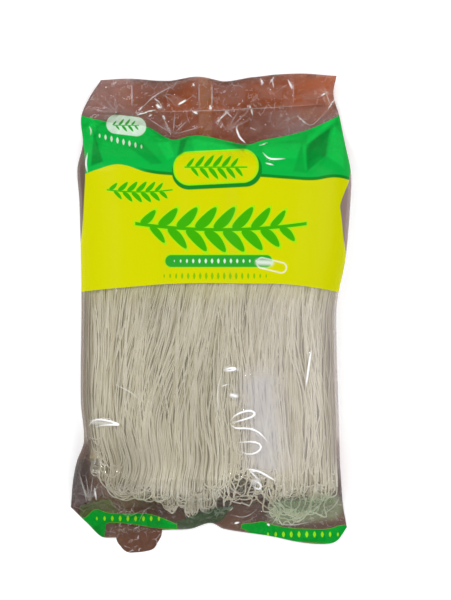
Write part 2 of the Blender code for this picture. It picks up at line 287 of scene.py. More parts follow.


# Folds that show, each as its path in millimetres, its height, its width and how white it is drawn,
# which is partly rubbed film and, in the window and on the header, partly a painted highlight
HEADER_FOLDS = (
    (((-55.5, 161.7), (-55.5, 142.8)), 0.5, 1.3, 0.5),
    (((-8.4, 163), (-8.4, 142)), 0.4, 1.2, 0.4),
    (((0.7, 162), (0.7, 142)), 0.4, 1.2, 0.5),
    (((58, 164.5), (58, 145.6)), 0.5, 1.3, 0.4),
    (((-56, 140), (-20, 141), (8, 141.6), (87, 146.3)), 0.5, 1.3, 0.35),
    (((-52, 139), (-41, 151), (-22, 161.4)), 0.7, 1.3, 0.45),
    (((-53, 138), (-46, 140), (-38, 141.8)), 0.8, 1.1, 1.0),
    (((17.5, 130), (19.5, 122.8), (24.5, 118.2)), 0.9, 1.1, 1.2),
    (((57.7, 141.6), (69.7, 128.9), (86, 145.6)), 0.6, 1.3, 0.4),
    (((35, 164), (36, 159)), 0.7, 1.1, 0.7),
    (((42.9, 164), (44.3, 157)), 0.7, 1.1, 0.6),
    (((79.1, 159), (82, 150), (85, 141.6)), 0.8, 1.2, 0.5),
    (((74, 150), (80, 154), (86, 153)), 0.7, 1.2, 0.4),
    (((-42, 152), (-36, 147), (-33, 141)), 0.8, 1.3, 0.5),
    (((-38, 155), (-28, 149), (-24, 143)), 0.7, 1.3, 0.3),
    (((-39, 145.5), (-34.5, 142.8)), 0.7, 1.2, 1.2),
    (((-40, 149.6), (-35.5, 147)), 0.6, 1.1, 0.7),
    (((-34, 138.5), (-32, 134.5)), 0.6, 1.1, 0.9),
    (((-23.5, 145.2), (-17, 149)), 0.8, 1.3, 1.2),
    (((-51, 140.5), (-48, 144.6)), 0.6, 1.1, 0.8),
    (((-44, 137), (-41, 138.6)), 0.6, 1.1, 0.8),
    (((-13, 140.8), (-9, 139)), 0.7, 1.1, 1.1),
    (((-0.9, 145.5), (0.4, 142)), 0.7, 1.1, 1.0),
    (((-12.8, 160.6), (-11.6, 158)), 0.6, 1.1, 0.9),
    (((-67, 140.3), (-64.8, 138.6)), 0.6, 1.1, 0.9),
    (((2.8, 132.2), (8, 137), (13, 141.8)), 0.8, 1.2, 0.7),
    (((8, 143), (15.5, 136)), 0.7, 1.2, 0.6),
    (((27, 146), (29.5, 137.5)), 0.7, 1.2, 0.8),
    (((34.5, 164.3), (37, 160.5)), 0.6, 1.1, 1.0),
    (((41.5, 161.5), (44.5, 165.5)), 0.6, 1.1, 0.8),
    (((54, 164), (57.4, 155.8)), 0.7, 1.1, 0.9),
    (((77, 151.5), (82, 154.5)), 0.7, 1.2, 1.1),
    (((87.5, 150), (84.5, 146), (81.8, 141.2)), 0.7, 1.2, 0.9),
    (((60.3, 137.8), (67, 130.8)), 0.6, 1.2, 0.6),
)
FANS = (
    fan((-26.7, 124.2), ((-46.9, 137.6), (-36, 140.3), (-25.3, 140.3), (-14.7, 136.2), (-3.9, 130.9),
                         (-33.4, 132.3)), 0.9, 1.9, 0.4)
    + fan((10.8, 126.8), ((28.2, 142.9), (20.2, 142.9), (5.5, 136.2), (29.5, 136.2), (22.9, 132.3)),
          0.8, 1.7, 0.35)
    + fan((-65.5, 138.9), ((-84.3, 149.6), (-85.6, 142.9), (-76.3, 152.3), (-68.2, 156.3)), 0.8, 1.9, 0.3)
    + fan((44, 127), ((57, 140), (50, 142), (40, 141), (64, 134)), 0.7, 1.8, 0.25)
    + fan((-84, -133), ((-91, -117), (-87, -114), (-82, -113), (-77, -117)), 0.8, 1.6, 0.4)
    + fan((-58, -143), ((-70, -133), (-62, -131), (-52, -133), (-44, -137)), 0.6, 1.5, 0.3)
)
SLOPE_FOLDS = (
    (((-81.6, 132.2), (-82.3, 122.8), (-74.9, 105.4)), 1.2, 2.2, 0.0),
    (((-60.2, 125.5), (-36, 104)), 0.9, 2.6, 0.0),
    (((88.5, 134.9), (67, 116.2), (67, 97.4)), 1.6, 2.6, 0.0),
    (((67, 116.2), (80.7, 109.4), (67, 97.4)), 1.3, 2.2, 0.0),
    (((33.6, 117.5), (50, 119.6), (67, 120.1)), 1.0, 2.0, 0.0),
    (((36.3, 112.1), (40.2, 106.8), (52.3, 107.5)), 0.8, 1.1, 1.0),
    (((38, 104.5), (44, 103)), 0.7, 1.1, 0.9),
    (((33.6, 116.8), (40, 118.6)), 0.7, 1.1, 0.8),
    (((-86.5, 112), (-88, 104), (-86.5, 97)), 0.8, 1.2, 0.9),
    (((-85.5, 130.5), (-84, 127.5), (-84.6, 124)), 0.6, 1.1, 0.7),
)
WINDOW_FOLDS = (
    (((8.1, -41.2), (13.5, -38.2), (20.2, -39.8), (13.5, -41.8), (8.4, -41.4)), 0.5, 0.9, 1.3),
    (((8.1, -41.8), (5.5, -49.2), (4.4, -55.9), (5.5, -73.3)), 0.5, 0.9, 0.7),
    (((6.8, -52.5), (12.2, -50.5)), 0.5, 0.9, 0.8),
    (((13.5, -57.9), (18.8, -59.2)), 0.6, 1.0, 1.3),
    (((12.8, -77.3), (16.2, -72), (28.2, -67.9), (32.9, -72), (25.5, -74.6), (13.5, -78)), 0.5, 0.9, 1.3),
    (((12.8, -77.3), (15.5, -82.6), (20.2, -81.1), (29.5, -81.3), (36.9, -86.7), (40.3, -92)),
     0.5, 0.9, 1.2),
    (((17.5, -91.4), (28.2, -90.4), (34.9, -91.4), (36.9, -94.7), (32.2, -98.7), (25.5, -100.3),
      (19.5, -96.7)), 0.5, 0.9, 1.1),
    (((24.2, -109.5), (33.6, -110.8), (46.3, -118.8)), 0.6, 0.9, 1.3),
    (((26.2, -110.1), (33.6, -117.5)), 0.6, 0.9, 0.9),
    (((28.5, -117.5), (34.9, -118.8), (36.3, -123.5), (32.9, -124.9), (28.5, -121)), 0.7, 1.0, 1.2),
    (((70.4, -25.1), (68.4, -37.1), (66.4, -53.2)), 0.6, 0.9, 1.3),
    (((-85.6, -80.6), (-82.3, -74.6), (-70.9, -76), (-61.6, -79.3), (-73.5, -78.7), (-81.6, -80.6)),
     0.6, 0.9, 1.2),
    (((-68.9, -49.8), (-56.1, -55.9), (-48.1, -62.6)), 0.4, 0.8, 0.6),
    (((-81.6, -55.9), (-73.5, -49.2)), 0.4, 0.8, 0.35),
    (((20, -42), (32, -46), (43, -55)), 0.4, 0.9, 0.3),
    (((4.8, -87), (5.6, -96), (4.8, -103)), 0.4, 0.8, 0.45),
    (((-86, -92), (-78, -104), (-71, -120)), 0.5, 1.2, 0.3),
    (((-90, -100), (-78, -108), (-66, -108)), 0.4, 1.1, 0.25),
)
FOOT_FOLDS = (
    (((-92, -112), (-88, -124), (-86, -134)), 0.8, 1.3, 0.5),
    (((-81, -122), (-79.5, -132)), 0.8, 1.2, 0.9),
    (((-50, -146), (-46, -138), (-40, -135)), 0.6, 1.2, 0.35),
    (((12, -141), (24, -144), (33, -137)), 0.5, 1.1, 0.4),
    (((45, -147), (57, -149), (70, -146)), 0.5, 1.1, 0.45),
    (((78, -141), (86, -136), (90, -128)), 0.7, 1.3, 0.4),
    (((16, -147.5), (20, -146.5)), 0.7, 1.1, 1.2),
    (((39, -147.5), (41, -149)), 0.7, 1.1, 1.2),
)
FOLDS = HEADER_FOLDS + FANS + SLOPE_FOLDS + WINDOW_FOLDS + FOOT_FOLDS

# These tones are painted light and shade: the film's colour is made lighter or darker on each facet
# Facets that the photograph shows turned to the light (above 0) or away from it, each as its corners
# in millimetres and its tone
PAINTED_FACET_TONES = (
    (((-82.6, 130), (-75.3, 105), (-84.6, 102)), -0.9),
    (((-22, 121), (-16, 122.5), (-19.7, 110.5), (-24.4, 108)), -0.8),
    (((-38, 119), (-29, 120), (-25, 109), (-31, 106)), 0.5),
    (((-60, 117), (-48, 119), (-33, 104), (-42, 103)), -0.5),
    (((-14, 122), (9, 118), (18, 113), (-12, 112)), 0.5),
    (((9.5, 119), (27, 118.2), (22.8, 112)), -0.7),
    (((36, 118), (64, 119), (60, 107), (38, 108)), 0.35),
    (((60, 107), (64, 119), (67, 97), (57, 98)), -0.4),
    (((66, 117), (84, 129), (80.7, 109.4), (67, 97.4)), -0.8),
    (((86, 132), (93, 124), (94, 100), (81, 109)), 0.4),
    (((-84, 150), (-77, 160), (-70, 150), (-80, 141)), 0.35),
    (((-70, 158), (-57, 159), (-57, 142), (-66, 147)), 0.6),
    (((-80, 160), (-66, 162), (-68, 154), (-76, 150)), -0.5),
    (((-52, 156), (-44, 161), (-24, 160), (-42, 150)), -0.6),
    (((-46, 130), (-34, 132), (-27, 123), (-34, 121)), -0.5),
    (((-8.4, 140), (0.7, 140), (2, 127), (-9, 127)), 0.35),
    (((10, 131), (30, 137), (38, 128), (24, 119)), 0.35),
    (((60, 141), (86, 146), (86, 138), (69, 130)), 0.6),
    (((30, 159), (52, 160), (50, 149), (34, 150)), 0.35),
    (((60, 150), (76, 158), (88, 156), (80, 147)), 0.4),
    (((77, 152), (84, 156.5), (88, 148), (81, 144)), 0.9),
    (((-31, 150), (-24, 153), (-16, 147), (-24, 143)), 0.6),
    (((-40, 147), (-33, 147), (-31, 140), (-37, 141)), 0.7),
    (((4, 160), (26, 161), (24, 146), (6, 145)), -0.4),
    (((-93, -136), (-80, -132), (-34, -139), (-32, -153), (-76, -169)), -0.45),
)

print("the film has", len(FOLDS), "folds and", len(PAINTED_FACET_TONES), "toned facets")

# %% [markdown]
# Now the film itself: a fine grid for the front, whose rows crowd where the film is crumpled, and a
# coarser net for the back. Both share the points of the rim, so that the bag is one closed shell. The
# net comes from a Delaunay triangulation of the rim and of the back's own points.

# %% Film shell
FILM_ACROSS = 256
FILM_ALONG = 350
EDGE_CROWDING = 0.55
ROW_PLACES = (-165, -115, 15, 30, 84, 94, 170)
ROW_SPACINGS = (0.95, 0.95, 0.95, 1.7, 1.7, 0.85, 0.8)
BACK_ACROSS = 54
BACK_ALONG = 90
NOODLE_CLEARANCE = 2.4 * MM
FLAT_SIZE = (195, 333)
# Facets of the empty film, from large to small: spacing and height in millimetres
FACET_SIZES = ((26, 2.2), (11, 0.8), (5, 0.3))


def film_rows():
    """Shares along the bag whose spacing follows the place, finest where the film is crumpled."""
    fine = np.linspace(0, 1, 4001)
    place = (1 - fine) * FOOT_END[4][1] + fine * HEADER_END[4][1]
    count = np.concatenate(([0], np.cumsum(1 / np.interp(place[1:], ROW_PLACES, ROW_SPACINGS))))
    return np.interp(np.linspace(0, count[-1], FILM_ALONG + 1), count, fine)


def film_columns(number):
    """Shares across the bag, crowded towards the side folds, where the film turns steeply."""
    even = np.linspace(0, 1, number + 1)
    crowded = 0.5 + 0.5 * np.sin(math.pi * (even - 0.5))
    return even + EDGE_CROWDING * (crowded - even)


def looseness(y):
    """1 where the film is empty and crumpled, and 0 where it is tight over the block."""
    header = smoothstep(BLOCK_HEAD - 6 * MM, BLOCK_HEAD + HEAD_SLOPE, y)
    return np.maximum(header, 1 - smoothstep(BLOCK_FOOT - FOOT_SLOPE, BLOCK_FOOT + 12 * MM, y))


def fade_to_rim(s, t):
    """0 at the rim and 1 a little way inside it."""
    return np.clip((1 - off_axis(s)) / 0.05, 0, 1) * np.clip(np.minimum(t, 1 - t) / 0.012, 0, 1)


def front_sheet(s, t):
    """Plan and height of the front film, and the marks on it that its finish reads, painted light and shade
    among them.
    """
    x, y = in_plan(s, t)
    front, back = front_and_back(s, t, x, y)
    seen_x, seen_y = as_seen(x, y, front)
    folded = sum(facets(x, y, spacing * MM, height * MM) for spacing, height in FACET_SIZES)
    window = 1 - smoothstep(8 * MM, 20 * MM, y)
    tight = 0.14 * MM * window * noise_at(x, y, 9 * MM, 60 * MM, 1.3) + facets(x, y, 34 * MM, 0.35 * MM)
    loose = looseness(y)
    relief = np.maximum(loose * folded, -1.4 * MM) + (1 - loose) * tight
    rub_and_glint, beside = np.zeros(x.shape), np.full(x.shape, 1.0)
    for path, height, width, rub in FOLDS:
        ridge, strength, side = crease(seen_x, seen_y, path, height, width)
        relief = relief + ridge
        closer = np.abs(side) < np.abs(beside)
        rub_and_glint, beside = np.where(closer, rub * strength, rub_and_glint), np.where(closer, side, beside)
    slope_x = np.gradient(relief, axis=1) / np.gradient(x, axis=1)
    slope_y = np.gradient(relief, axis=0) / np.gradient(y, axis=0)
    # Painted light and shade: folds that face the upper left are drawn lighter, the others darker, and the
    # listed facets add their own painted tones
    tilt = 0.9 * loose * (slope_x - slope_y)
    tilt += sum(tone * patch_of(seen_x, seen_y, corners) for corners, tone in PAINTED_FACET_TONES)
    front = front + fade_to_rim(s, t) * relief
    marks = {"rub_and_glint": rub_and_glint, "beside": np.clip(beside / MM, -4, 4), "tilt": np.clip(tilt, -1, 1)}
    return x, y, np.maximum(front, back + 0.4 * MM), marks


def back_sheet(s, t):
    """Plan and height of the back film, which lies on the table."""
    x, y = in_plan(s, t)
    back = front_and_back(s, t, x, y)[1]
    pressed = 0.2 + 0.8 * looseness(y)
    relief = pressed * (facets(x, y, 17 * MM, 0.8 * MM) + facets(x, y, 8 * MM, 0.3 * MM))
    return x, y, back + fade_to_rim(s, t) * np.maximum(0, relief)


def back_faces(s, t, rim):
    """Triangles between the rim's points, which come first, and the back's own points."""
    flat = [Vector((a * FLAT_SIZE[0], b * FLAT_SIZE[1])) for a, b in zip(s, t)]
    made = geometry.delaunay_2d_cdt(flat, [], [list(range(rim))], 1, 1e-6)
    origin = [ids[0] for ids in made[3]]
    return [[origin[k] for k in reversed(face)] for face in made[2]]


def grid_quads(index):
    """The four corners of each face of a grid, from its numbered points."""
    corners = (index[:-1, :-1], index[:-1, 1:], index[1:, 1:], index[1:, :-1])
    return np.stack(corners, -1).reshape(-1, 4)


def film_shell(materials):
    """The closed bag: the front grid, and the back net welded to its rim."""
    s, t = np.meshgrid(film_columns(FILM_ACROSS), film_rows())
    x, y, z, marks = front_sheet(s, t)
    index = np.arange(s.size).reshape(s.shape)
    rim = np.concatenate((index[0, :-1], index[:-1, -1], index[-1, :0:-1], index[:0:-1, 0]))
    own_s, own_t = np.meshgrid(film_columns(BACK_ACROSS)[1:-1], np.linspace(0, 1, BACK_ALONG + 1)[1:-1])
    own_s, own_t = own_s.ravel(), own_t.ravel()
    rim_back = back_sheet(s.ravel()[rim], t.ravel()[rim])[2]
    z.ravel()[rim] = (z.ravel()[rim] + rim_back) / 2
    own = np.stack(back_sheet(own_s, own_t), -1)
    verts = np.concatenate((np.stack((x, y, z), -1).reshape(-1, 3), own))
    quads = grid_quads(index).tolist()
    number = np.concatenate((rim, s.size + np.arange(len(own)))).tolist()
    net = back_faces(np.concatenate((s.ravel()[rim], own_s)), np.concatenate((t.ravel()[rim], own_t)),
                     len(rim))
    mesh = bpy.data.meshes.new("film")
    mesh.from_pydata(verts.tolist(), [], quads + [[number[k] for k in face] for face in net])
    mesh.polygons.foreach_set("material_index", [0] * len(quads) + [1] * len(net))
    for label, values in marks.items():
        mark = mesh.attributes.new(label, "FLOAT", "POINT")
        mark.data.foreach_set("value", np.concatenate((values.ravel(), np.zeros(len(own)))))
    mesh.shade_smooth()
    mesh.set_sharp_from_angle(angle=math.radians(75))
    return link_piece("film", mesh, materials)


# %% [markdown]
# Every finish is made of nodes. One small helper adds a node, fills its inputs and wires sockets, and
# a second one does arithmetic, so that a tree reads almost like a formula.

# %% Node helpers
def add(tree, kind, inputs=None, **settings):
    """A node with its settings, its values and its links."""
    made = tree.nodes.new(kind)
    for name, value in settings.items():
        setattr(made, name, value)
    for key, value in (inputs or {}).items():
        if isinstance(value, bpy.types.NodeSocket):
            tree.links.new(value, made.inputs[key])
        else:
            made.inputs[key].default_value = value
    return made


def calc(tree, operation, *values):
    """The result of a Math node."""
    return add(tree, "ShaderNodeMath", dict(enumerate(values)), operation=operation).outputs[0]


def chain(operation):
    """A function that joins two or more values, from the left, by one operation of the Math node."""
    def joined(tree, value, *others):
        for other in others:
            value = calc(tree, operation, value, other)
        return value
    return joined


times, plus, minus, ratio = chain("MULTIPLY"), chain("ADD"), chain("SUBTRACT"), chain("DIVIDE")
larger, smaller = chain("MAXIMUM"), chain("MINIMUM")


def times_plus(tree, value, factor, offset):
    """Value times a factor, plus an offset."""
    return calc(tree, "MULTIPLY_ADD", value, factor, offset)


def attribute(tree, name):
    """A number that is stored on the mesh."""
    return add(tree, "ShaderNodeAttribute", attribute_name=name).outputs["Fac"]


def noise_of(tree, place, scale, detail):
    """Smooth noise between 0 and 1."""
    return add(tree, "ShaderNodeTexNoise", {"Vector": place, "Scale": scale, "Detail": detail}).outputs[0]


def stretched(tree, place, scale):
    """A place with each of its three axes scaled."""
    return add(tree, "ShaderNodeMapping", {"Vector": place, "Scale": scale}).outputs[0]


def scaled(tree, vector, factor):
    """A vector or a colour times a number."""
    return add(tree, "ShaderNodeVectorMath", {0: vector, "Scale": factor}, operation="SCALE").outputs[0]


def moved(tree, vector, step):
    """The sum of two vectors."""
    return add(tree, "ShaderNodeVectorMath", {0: vector, 1: step}, operation="ADD").outputs[0]


def curve_through(tree, spots, value):
    """A Float Curve through spots between 0 and 1, read at a value."""
    made = add(tree, "ShaderNodeFloatCurve", {"Value": value})
    points = made.mapping.curves[0].points
    for point, spot in zip(points, (spots[0], spots[-1])):
        point.location = spot
    for spot in spots[1:-1]:
        points.new(*spot)
    made.mapping.update()
    return made.outputs[0]


def ramp(tree, value, low, high, start=0.0, end=1.0):
    """A smooth step of value from start at low to end at high."""
    inputs = {"Value": value, "From Min": low, "From Max": high, "To Min": start, "To Max": end}
    return add(tree, "ShaderNodeMapRange", inputs, interpolation_type="SMOOTHSTEP").outputs[0]


def blend(tree, factor, below, above):
    """Colour above laid over colour below by a factor."""
    made = add(tree, "ShaderNodeMix", data_type="RGBA")
    for socket, value in zip((made.inputs[0], made.inputs[6], made.inputs[7]), (factor, below, above)):
        if isinstance(value, bpy.types.NodeSocket):
            tree.links.new(value, socket)
        elif socket.type == "RGBA":
            socket.default_value = (*value, 1)
        else:
            socket.default_value = value
    return made.outputs[2]


def srgb(*levels):
    """A colour given as 0 to 255 levels of the screen, in linear light."""
    return tuple(((v / 255 + 0.055) / 1.055) ** 2.4 if v > 10 else v / 255 / 12.92 for v in levels)


def new_material(name):
    """An empty material and its node tree."""
    material = bpy.data.materials.new(name)
    material.use_nodes = True
    material.node_tree.nodes.clear()
    return material, material.node_tree


def new_group(name, kind, inputs, outputs):
    """A node group and its input and output nodes, with sockets given as name and type."""
    group = bpy.data.node_groups.new(name, kind)
    for side, sockets in (("INPUT", inputs), ("OUTPUT", outputs)):
        for label, socket_type in sockets:
            group.interface.new_socket(label, in_out=side, socket_type=socket_type)
    return group, group.nodes.new("NodeGroupInput").outputs, group.nodes.new("NodeGroupOutput").inputs


# %% [markdown]
# The print is fields of flat colour with wavy edges, and a few plain motifs. A wavy edge is a Float
# Curve: it takes the place across the bag and gives the height of the edge there. Subtracting that
# from the place along the bag tells which side of the edge a point is on.

# %% Print: wavy fields
PRINT_LOW = -170
PRINT_HIGH = 170
INK_EDGE = 0.35

GREEN_TOP = ((-95, 139), (-73.5, 133.7), (-45.5, 130.2), (-30.8, 122.2), (-26.6, 120.8), (-14.7, 123.5),
             (-5.3, 123.5), (10.8, 120.1), (26.2, 117.5), (35, 120.1), (55, 124.2), (68.4, 128.1),
             (92, 139))
YELLOW_TOP = ((-95, 94), (-88.2, 96.7), (-79.1, 100.1), (-66.9, 103.4), (-60.2, 102.8), (-45.5, 98),
              (-30.8, 96), (32.9, 94.7), (55, 93.1), (72, 92.3), (87, 94.2), (97, 92.4))
YELLOW_BOTTOM = ((-97, 13), (-89.9, 14), (-52.2, 17.7), (-25.3, 19.6), (28, 19.7), (55, 19), (87.9, 14),
                 (97, 12))
PANEL_LEFT = ((-20, -96), (14, -96), (36, -95), (44, -92.4), (52, -90.7), (62, -89.8), (80, -88.9),
              (97, -88.2), (112, -88.8), (125, -91), (137, -93.5), (150, -97))
PANEL_RIGHT = ((-20, 96), (14, 96), (34, 95.5), (44, 93.9), (53, 92.7), (62, 91.9), (70, 91.0),
               (73.5, 90.6), (77, 91.2), (84, 93.8), (92.4, 96.9), (140, 99))
SEAL_LINE = ((-100, 139.5), (-52, 140.3), (8, 141.6), (86, 146.3), (100, 147))
LEFT_BAND_TOP = ((-97, -139), (-89.5, -143.7), (-80, -137.7), (-72.8, -139.7), (-64.7, -140.7),
                 (-51.3, -140.3), (-42, -141), (-31.9, -144.4), (-22, -149))
LEFT_BAND_BOTTOM = ((-97, -168), (-75.4, -166), (-73, -148), (-67.3, -147), (-51.3, -148.4),
                    (-38.5, -150.5), (-22, -151.4))
RIGHT_BAND_TOP = ((18, -151), (21.9, -148.1), (30.7, -146.8), (36, -146.1), (42.7, -148.1),
                  (52.5, -150.2), (66.2, -151.1), (82.9, -150.8), (89.6, -148.8), (97, -148.5))
RIGHT_BAND_BOTTOM = ((18, -150), (23.8, -151.9), (29.3, -155.1), (42.7, -156.8), (52.5, -159.2),
                     (62.8, -160.2), (97, -162))
SEEN_TOP = ((-97, -137), (-90.3, -135), (-80, -132.3), (-70, -130.9), (-66, -137.1), (-60, -142))
FOLDED_TOP = ((-97, -141), (-50, -141), (-38, -141.5), (-25.2, -145.6), (-7.7, -140), (7.7, -135.8),
              (14.7, -135), (20, -138))
FOLDED_BOTTOM = ((-97, -150), (-38.5, -149), (-16.5, -151.4), (-5, -148.4), (6.8, -145.6), (14.7, -137),
                 (20, -136))


def ramp_linear(tree, value, low, high):
    """Value as a share of the way from low to high."""
    return add(tree, "ShaderNodeMapRange", {"Value": value, "From Min": low, "From Max": high}).outputs[0]


def edge_height(tree, across, stations):
    """Height of a wavy edge, in millimetres, at a place across the bag."""
    reach = PRINT_HIGH - PRINT_LOW
    spots = [((a - PRINT_LOW) / reach, (b - PRINT_LOW) / reach) for a, b in stations]
    share = curve_through(tree, spots, ramp_linear(tree, across, PRINT_LOW, PRINT_HIGH))
    return times_plus(tree, share, reach, PRINT_LOW)


def below_line(tree, across, along, stations):
    """1 where a point lies below a wavy edge, with an edge as soft as ink."""
    gap = minus(tree, edge_height(tree, across, stations), along)
    return ramp(tree, gap, -INK_EDGE, INK_EDGE)


def between(tree, value, low, high):
    """1 between two values, with the same soft edge."""
    return times(tree, ramp(tree, value, low - INK_EDGE, low + INK_EDGE),
                ramp(tree, value, high - INK_EDGE, high + INK_EDGE, 1.0, 0.0))


# %% [markdown]
# The motifs are grains of rice on a stem. One group draws a whole ear: it folds the stem's line into
# equal cells, places one slanted ellipse in each cell on both sides, and puts out two masks, one for
# the grains and a slightly larger one for their outline. The same group, with other sizes, draws the
# large ear in the middle, the small sprigs and the rows of single grains.

# %% Print: an ear of grains
FLOAT = "NodeSocketFloat"
EAR_SIZES = ("Centre X", "Centre Y", "Half Length", "Pitch", "Stagger", "Grain Length", "Grain Width",
             "Slant", "Stand Off", "Rise", "Stem", "Outline")


def ear_of_grains():
    """The group that draws one ear: a stem with grains on both sides."""
    inputs = [(name, FLOAT) for name in ("X", "Y") + EAR_SIZES]
    group, given, made = new_group("ear of grains", "ShaderNodeTree", inputs,
                                   (("Grains", FLOAT), ("Edge", FLOAT)))
    x = minus(group, given["X"], given["Centre X"])
    bow = times(group, x, x, given["Rise"])
    y = minus(group, minus(group, given["Y"], given["Centre Y"]), bow)
    side = calc(group, "ABSOLUTE", y)
    above = minus(group, side, given["Stand Off"])
    stagger = times(group, given["Stagger"], given["Pitch"])
    shifted = times_plus(group, calc(group, "SIGN", y), stagger, x)
    slanted = minus(group, shifted, times(group, above, given["Slant"]))
    cell = plus(group, calc(group, "FLOOR", ratio(group, slanted, given["Pitch"])), 0.5)
    middle = times(group, cell, given["Pitch"])
    share = ratio(group, calc(group, "ABSOLUTE", middle), given["Half Length"])
    room = larger(group, minus(group, 1.0, calc(group, "POWER", share, 2.5)), 0.0001)
    grow = calc(group, "SQRT", room)
    broad = times(group, given["Grain Width"], grow)
    wide = ratio(group, minus(group, slanted, middle), broad)
    above = minus(group, side, times(group, given["Stand Off"], grow))
    tall = ratio(group, above, times(group, given["Grain Length"], grow))
    tapered = times(group, wide, times_plus(group, tall, 0.35, 1.0))
    squares = plus(group, times(group, tapered, tapered), times(group, tall, tall))
    gap = times(group, minus(group, calc(group, "SQRT", squares), 1.0), broad)
    past_end = times_plus(group, minus(group, share, 0.92), 50.0, -1.0)
    gap = larger(group, gap, past_end)
    off_stem = minus(group, calc(group, "ABSOLUTE", x), given["Half Length"])
    off_stem = larger(group, minus(group, side, given["Stem"]), off_stem)
    gap = smaller(group, gap, off_stem)
    for label, grown in (("Grains", gap), ("Edge", minus(group, gap, given["Outline"]))):
        group.links.new(ramp(group, grown, -0.2, 0.2, 1.0, 0.0), made[label])
    return group


EAR = ear_of_grains()
print("the ear group has", len(EAR.nodes), "nodes")


def draw_ear(tree, x, y, centre, half_length, pitch, grain, slant=0.0, stand_off=0.0, rise=0.0, stagger=0.0,
             stem=-9.0):
    """Grain and outline masks of one ear; a row of single grains has no stand-off and no stem."""
    outline = 0.12 * grain[0]
    values = (*centre, half_length, pitch, stagger, *grain, slant, stand_off, rise, stem, outline)
    made = add(tree, "ShaderNodeGroup", {"X": x, "Y": y, **dict(zip(EAR_SIZES, values))}, node_tree=EAR)
    return made.outputs["Grains"], made.outputs["Edge"]


PANEL_EARS = (
    dict(centre=(3.5, 101.5), half_length=22, pitch=6.2, grain=(4.0, 1.8), slant=0.7, stand_off=4.3,
         stagger=0.25, stem=0.4),
    dict(centre=(7, 57.5), half_length=60, pitch=13.0, grain=(7.8, 4.5), slant=0.75, stand_off=8.0,
         rise=0.0012, stagger=0.25, stem=1.1),
    dict(centre=(-50, 84.0), half_length=23, pitch=6.4, grain=(3.5, 2.1), slant=0.8, stand_off=3.7,
         rise=0.003, stagger=0.25, stem=0.4),
)
PILL_MARKS = dict(centre=(3, 35.5), half_length=31, pitch=4.4, grain=(1.7, 0.9))
SMALL_MARKS = dict(centre=(3, 25), half_length=41, pitch=4.2, grain=(2.4, 1.0))
SLANTED_MARKS = dict(centre=(-63.5, 103.3), half_length=19, pitch=4.2, grain=(2.1, 0.9))
MARKS_SLANT = 0.26
TRIM_HEIGHT = 2.2
BADGE_RIM = 1.3
PILL_RIM = 0.7
CREST_SPRIG = dict(centre=(-59.5, 131), half_length=9, pitch=4.4, grain=(2.2, 1.1), slant=0.7,
                   stand_off=2.3, stagger=0.25, stem=0.3)
FOOT_BANDS = (
    (LEFT_BAND_TOP, LEFT_BAND_BOTTOM, -99, -23.5,
     dict(centre=(-55, -144), half_length=30, pitch=5.4, grain=(1.9, 1.0))),
    (RIGHT_BAND_TOP, RIGHT_BAND_BOTTOM, 21, 99,
     dict(centre=(64, -155), half_length=30, pitch=5.4, grain=(2.1, 1.1))),
)
NOTE_MARKS = (dict(centre=(66, -133), half_length=25, pitch=3.1, grain=(1.2, 0.6), rise=0.002),
              dict(centre=(66, -139), half_length=19, pitch=3.1, grain=(1.1, 0.6), rise=0.002))

# %% [markdown]
# Pills, ovals and rounded panels are all one shape: a box with round corners. Its signed distance,
# which is negative inside, takes a few steps of arithmetic, so it is a group as well.

# %% Print: rounded shapes
def rounded_box():
    """The group that measures the distance to one box with round corners."""
    names = ("X", "Y", "Centre X", "Centre Y", "Half Width", "Half Height", "Corner", "Turn")
    group, given, made = new_group("rounded box", "ShaderNodeTree", [(n, FLOAT) for n in names],
                                   (("Distance", FLOAT),))
    x = minus(group, given["X"], given["Centre X"])
    y = minus(group, given["Y"], given["Centre Y"])
    c, s = calc(group, "COSINE", given["Turn"]), calc(group, "SINE", given["Turn"])
    along = plus(group, times(group, x, c), times(group, y, s))
    up = minus(group, times(group, y, c), times(group, x, s))
    squares = []
    for place, half in ((along, "Half Width"), (up, "Half Height")):
        core = minus(group, given[half], given["Corner"])
        over = larger(group, minus(group, calc(group, "ABSOLUTE", place), core), 0.0)
        squares.append(times(group, over, over))
    distance = minus(group, calc(group, "SQRT", plus(group, *squares)), given["Corner"])
    group.links.new(distance, made["Distance"])
    return group


ROUNDED_BOX = rounded_box()
print("the rounded box group has", len(ROUNDED_BOX.nodes), "nodes")


def round_shape(tree, x, y, centre, half, corner, turn):
    """Signed distance in millimetres to one rounded box."""
    inputs = {"X": x, "Y": y, "Centre X": centre[0], "Centre Y": centre[1], "Half Width": half[0],
              "Half Height": half[1], "Corner": corner, "Turn": turn}
    return add(tree, "ShaderNodeGroup", inputs, node_tree=ROUNDED_BOX).outputs[0]


def inside(tree, distance):
    """1 inside a shape, with an edge as soft as ink."""
    return ramp(tree, distance, -INK_EDGE, INK_EDGE, 1.0, 0.0)


# Rounded shapes on the film, in millimetres: centre, half size, corner and turn
BADGE = ((3.5, 101.5), (30, 12.0), 11.4, 0.05)
BADGE_UNDERSIDE = ((4.2, 99.2), (31.6, 12.6), 12.0, 0.05)
PILL = ((5.5, 35.5), (37.4, 4.2), 4.1, 0.0)
CREST = ((-59.5, 131), (14, 6.8), 6.7, -0.12)
NOTE = ((66, -138), (27, 10), 9.5, 0.12)
# The sky patch is a painted reflection, the foot patch a painted shade and the light ring a painted
# highlight
SKY_REFLECTION_PATCH = ((37, -78), (16, 40), 15.5, 0.12)
FOOT_SHADE_PATCH = ((-59, -108), (23, 26), 20, -0.2)
LIGHT_RING = ((42.5, 32.5), (10.5, 3.6), 3.5, -0.24)

# %% [markdown]
# The film is nearly all mirror and hardly any colour: a clear sheet reflects a few per cent of the
# light straight on and more at a glance, which Fresnel gives, and lets the rest through. So it is a
# Transparent shader with a Glossy one mixed over it. The ink and a faint haze, which old film has
# where it is rubbed, are a Principled shader whose share is the ink's cover.

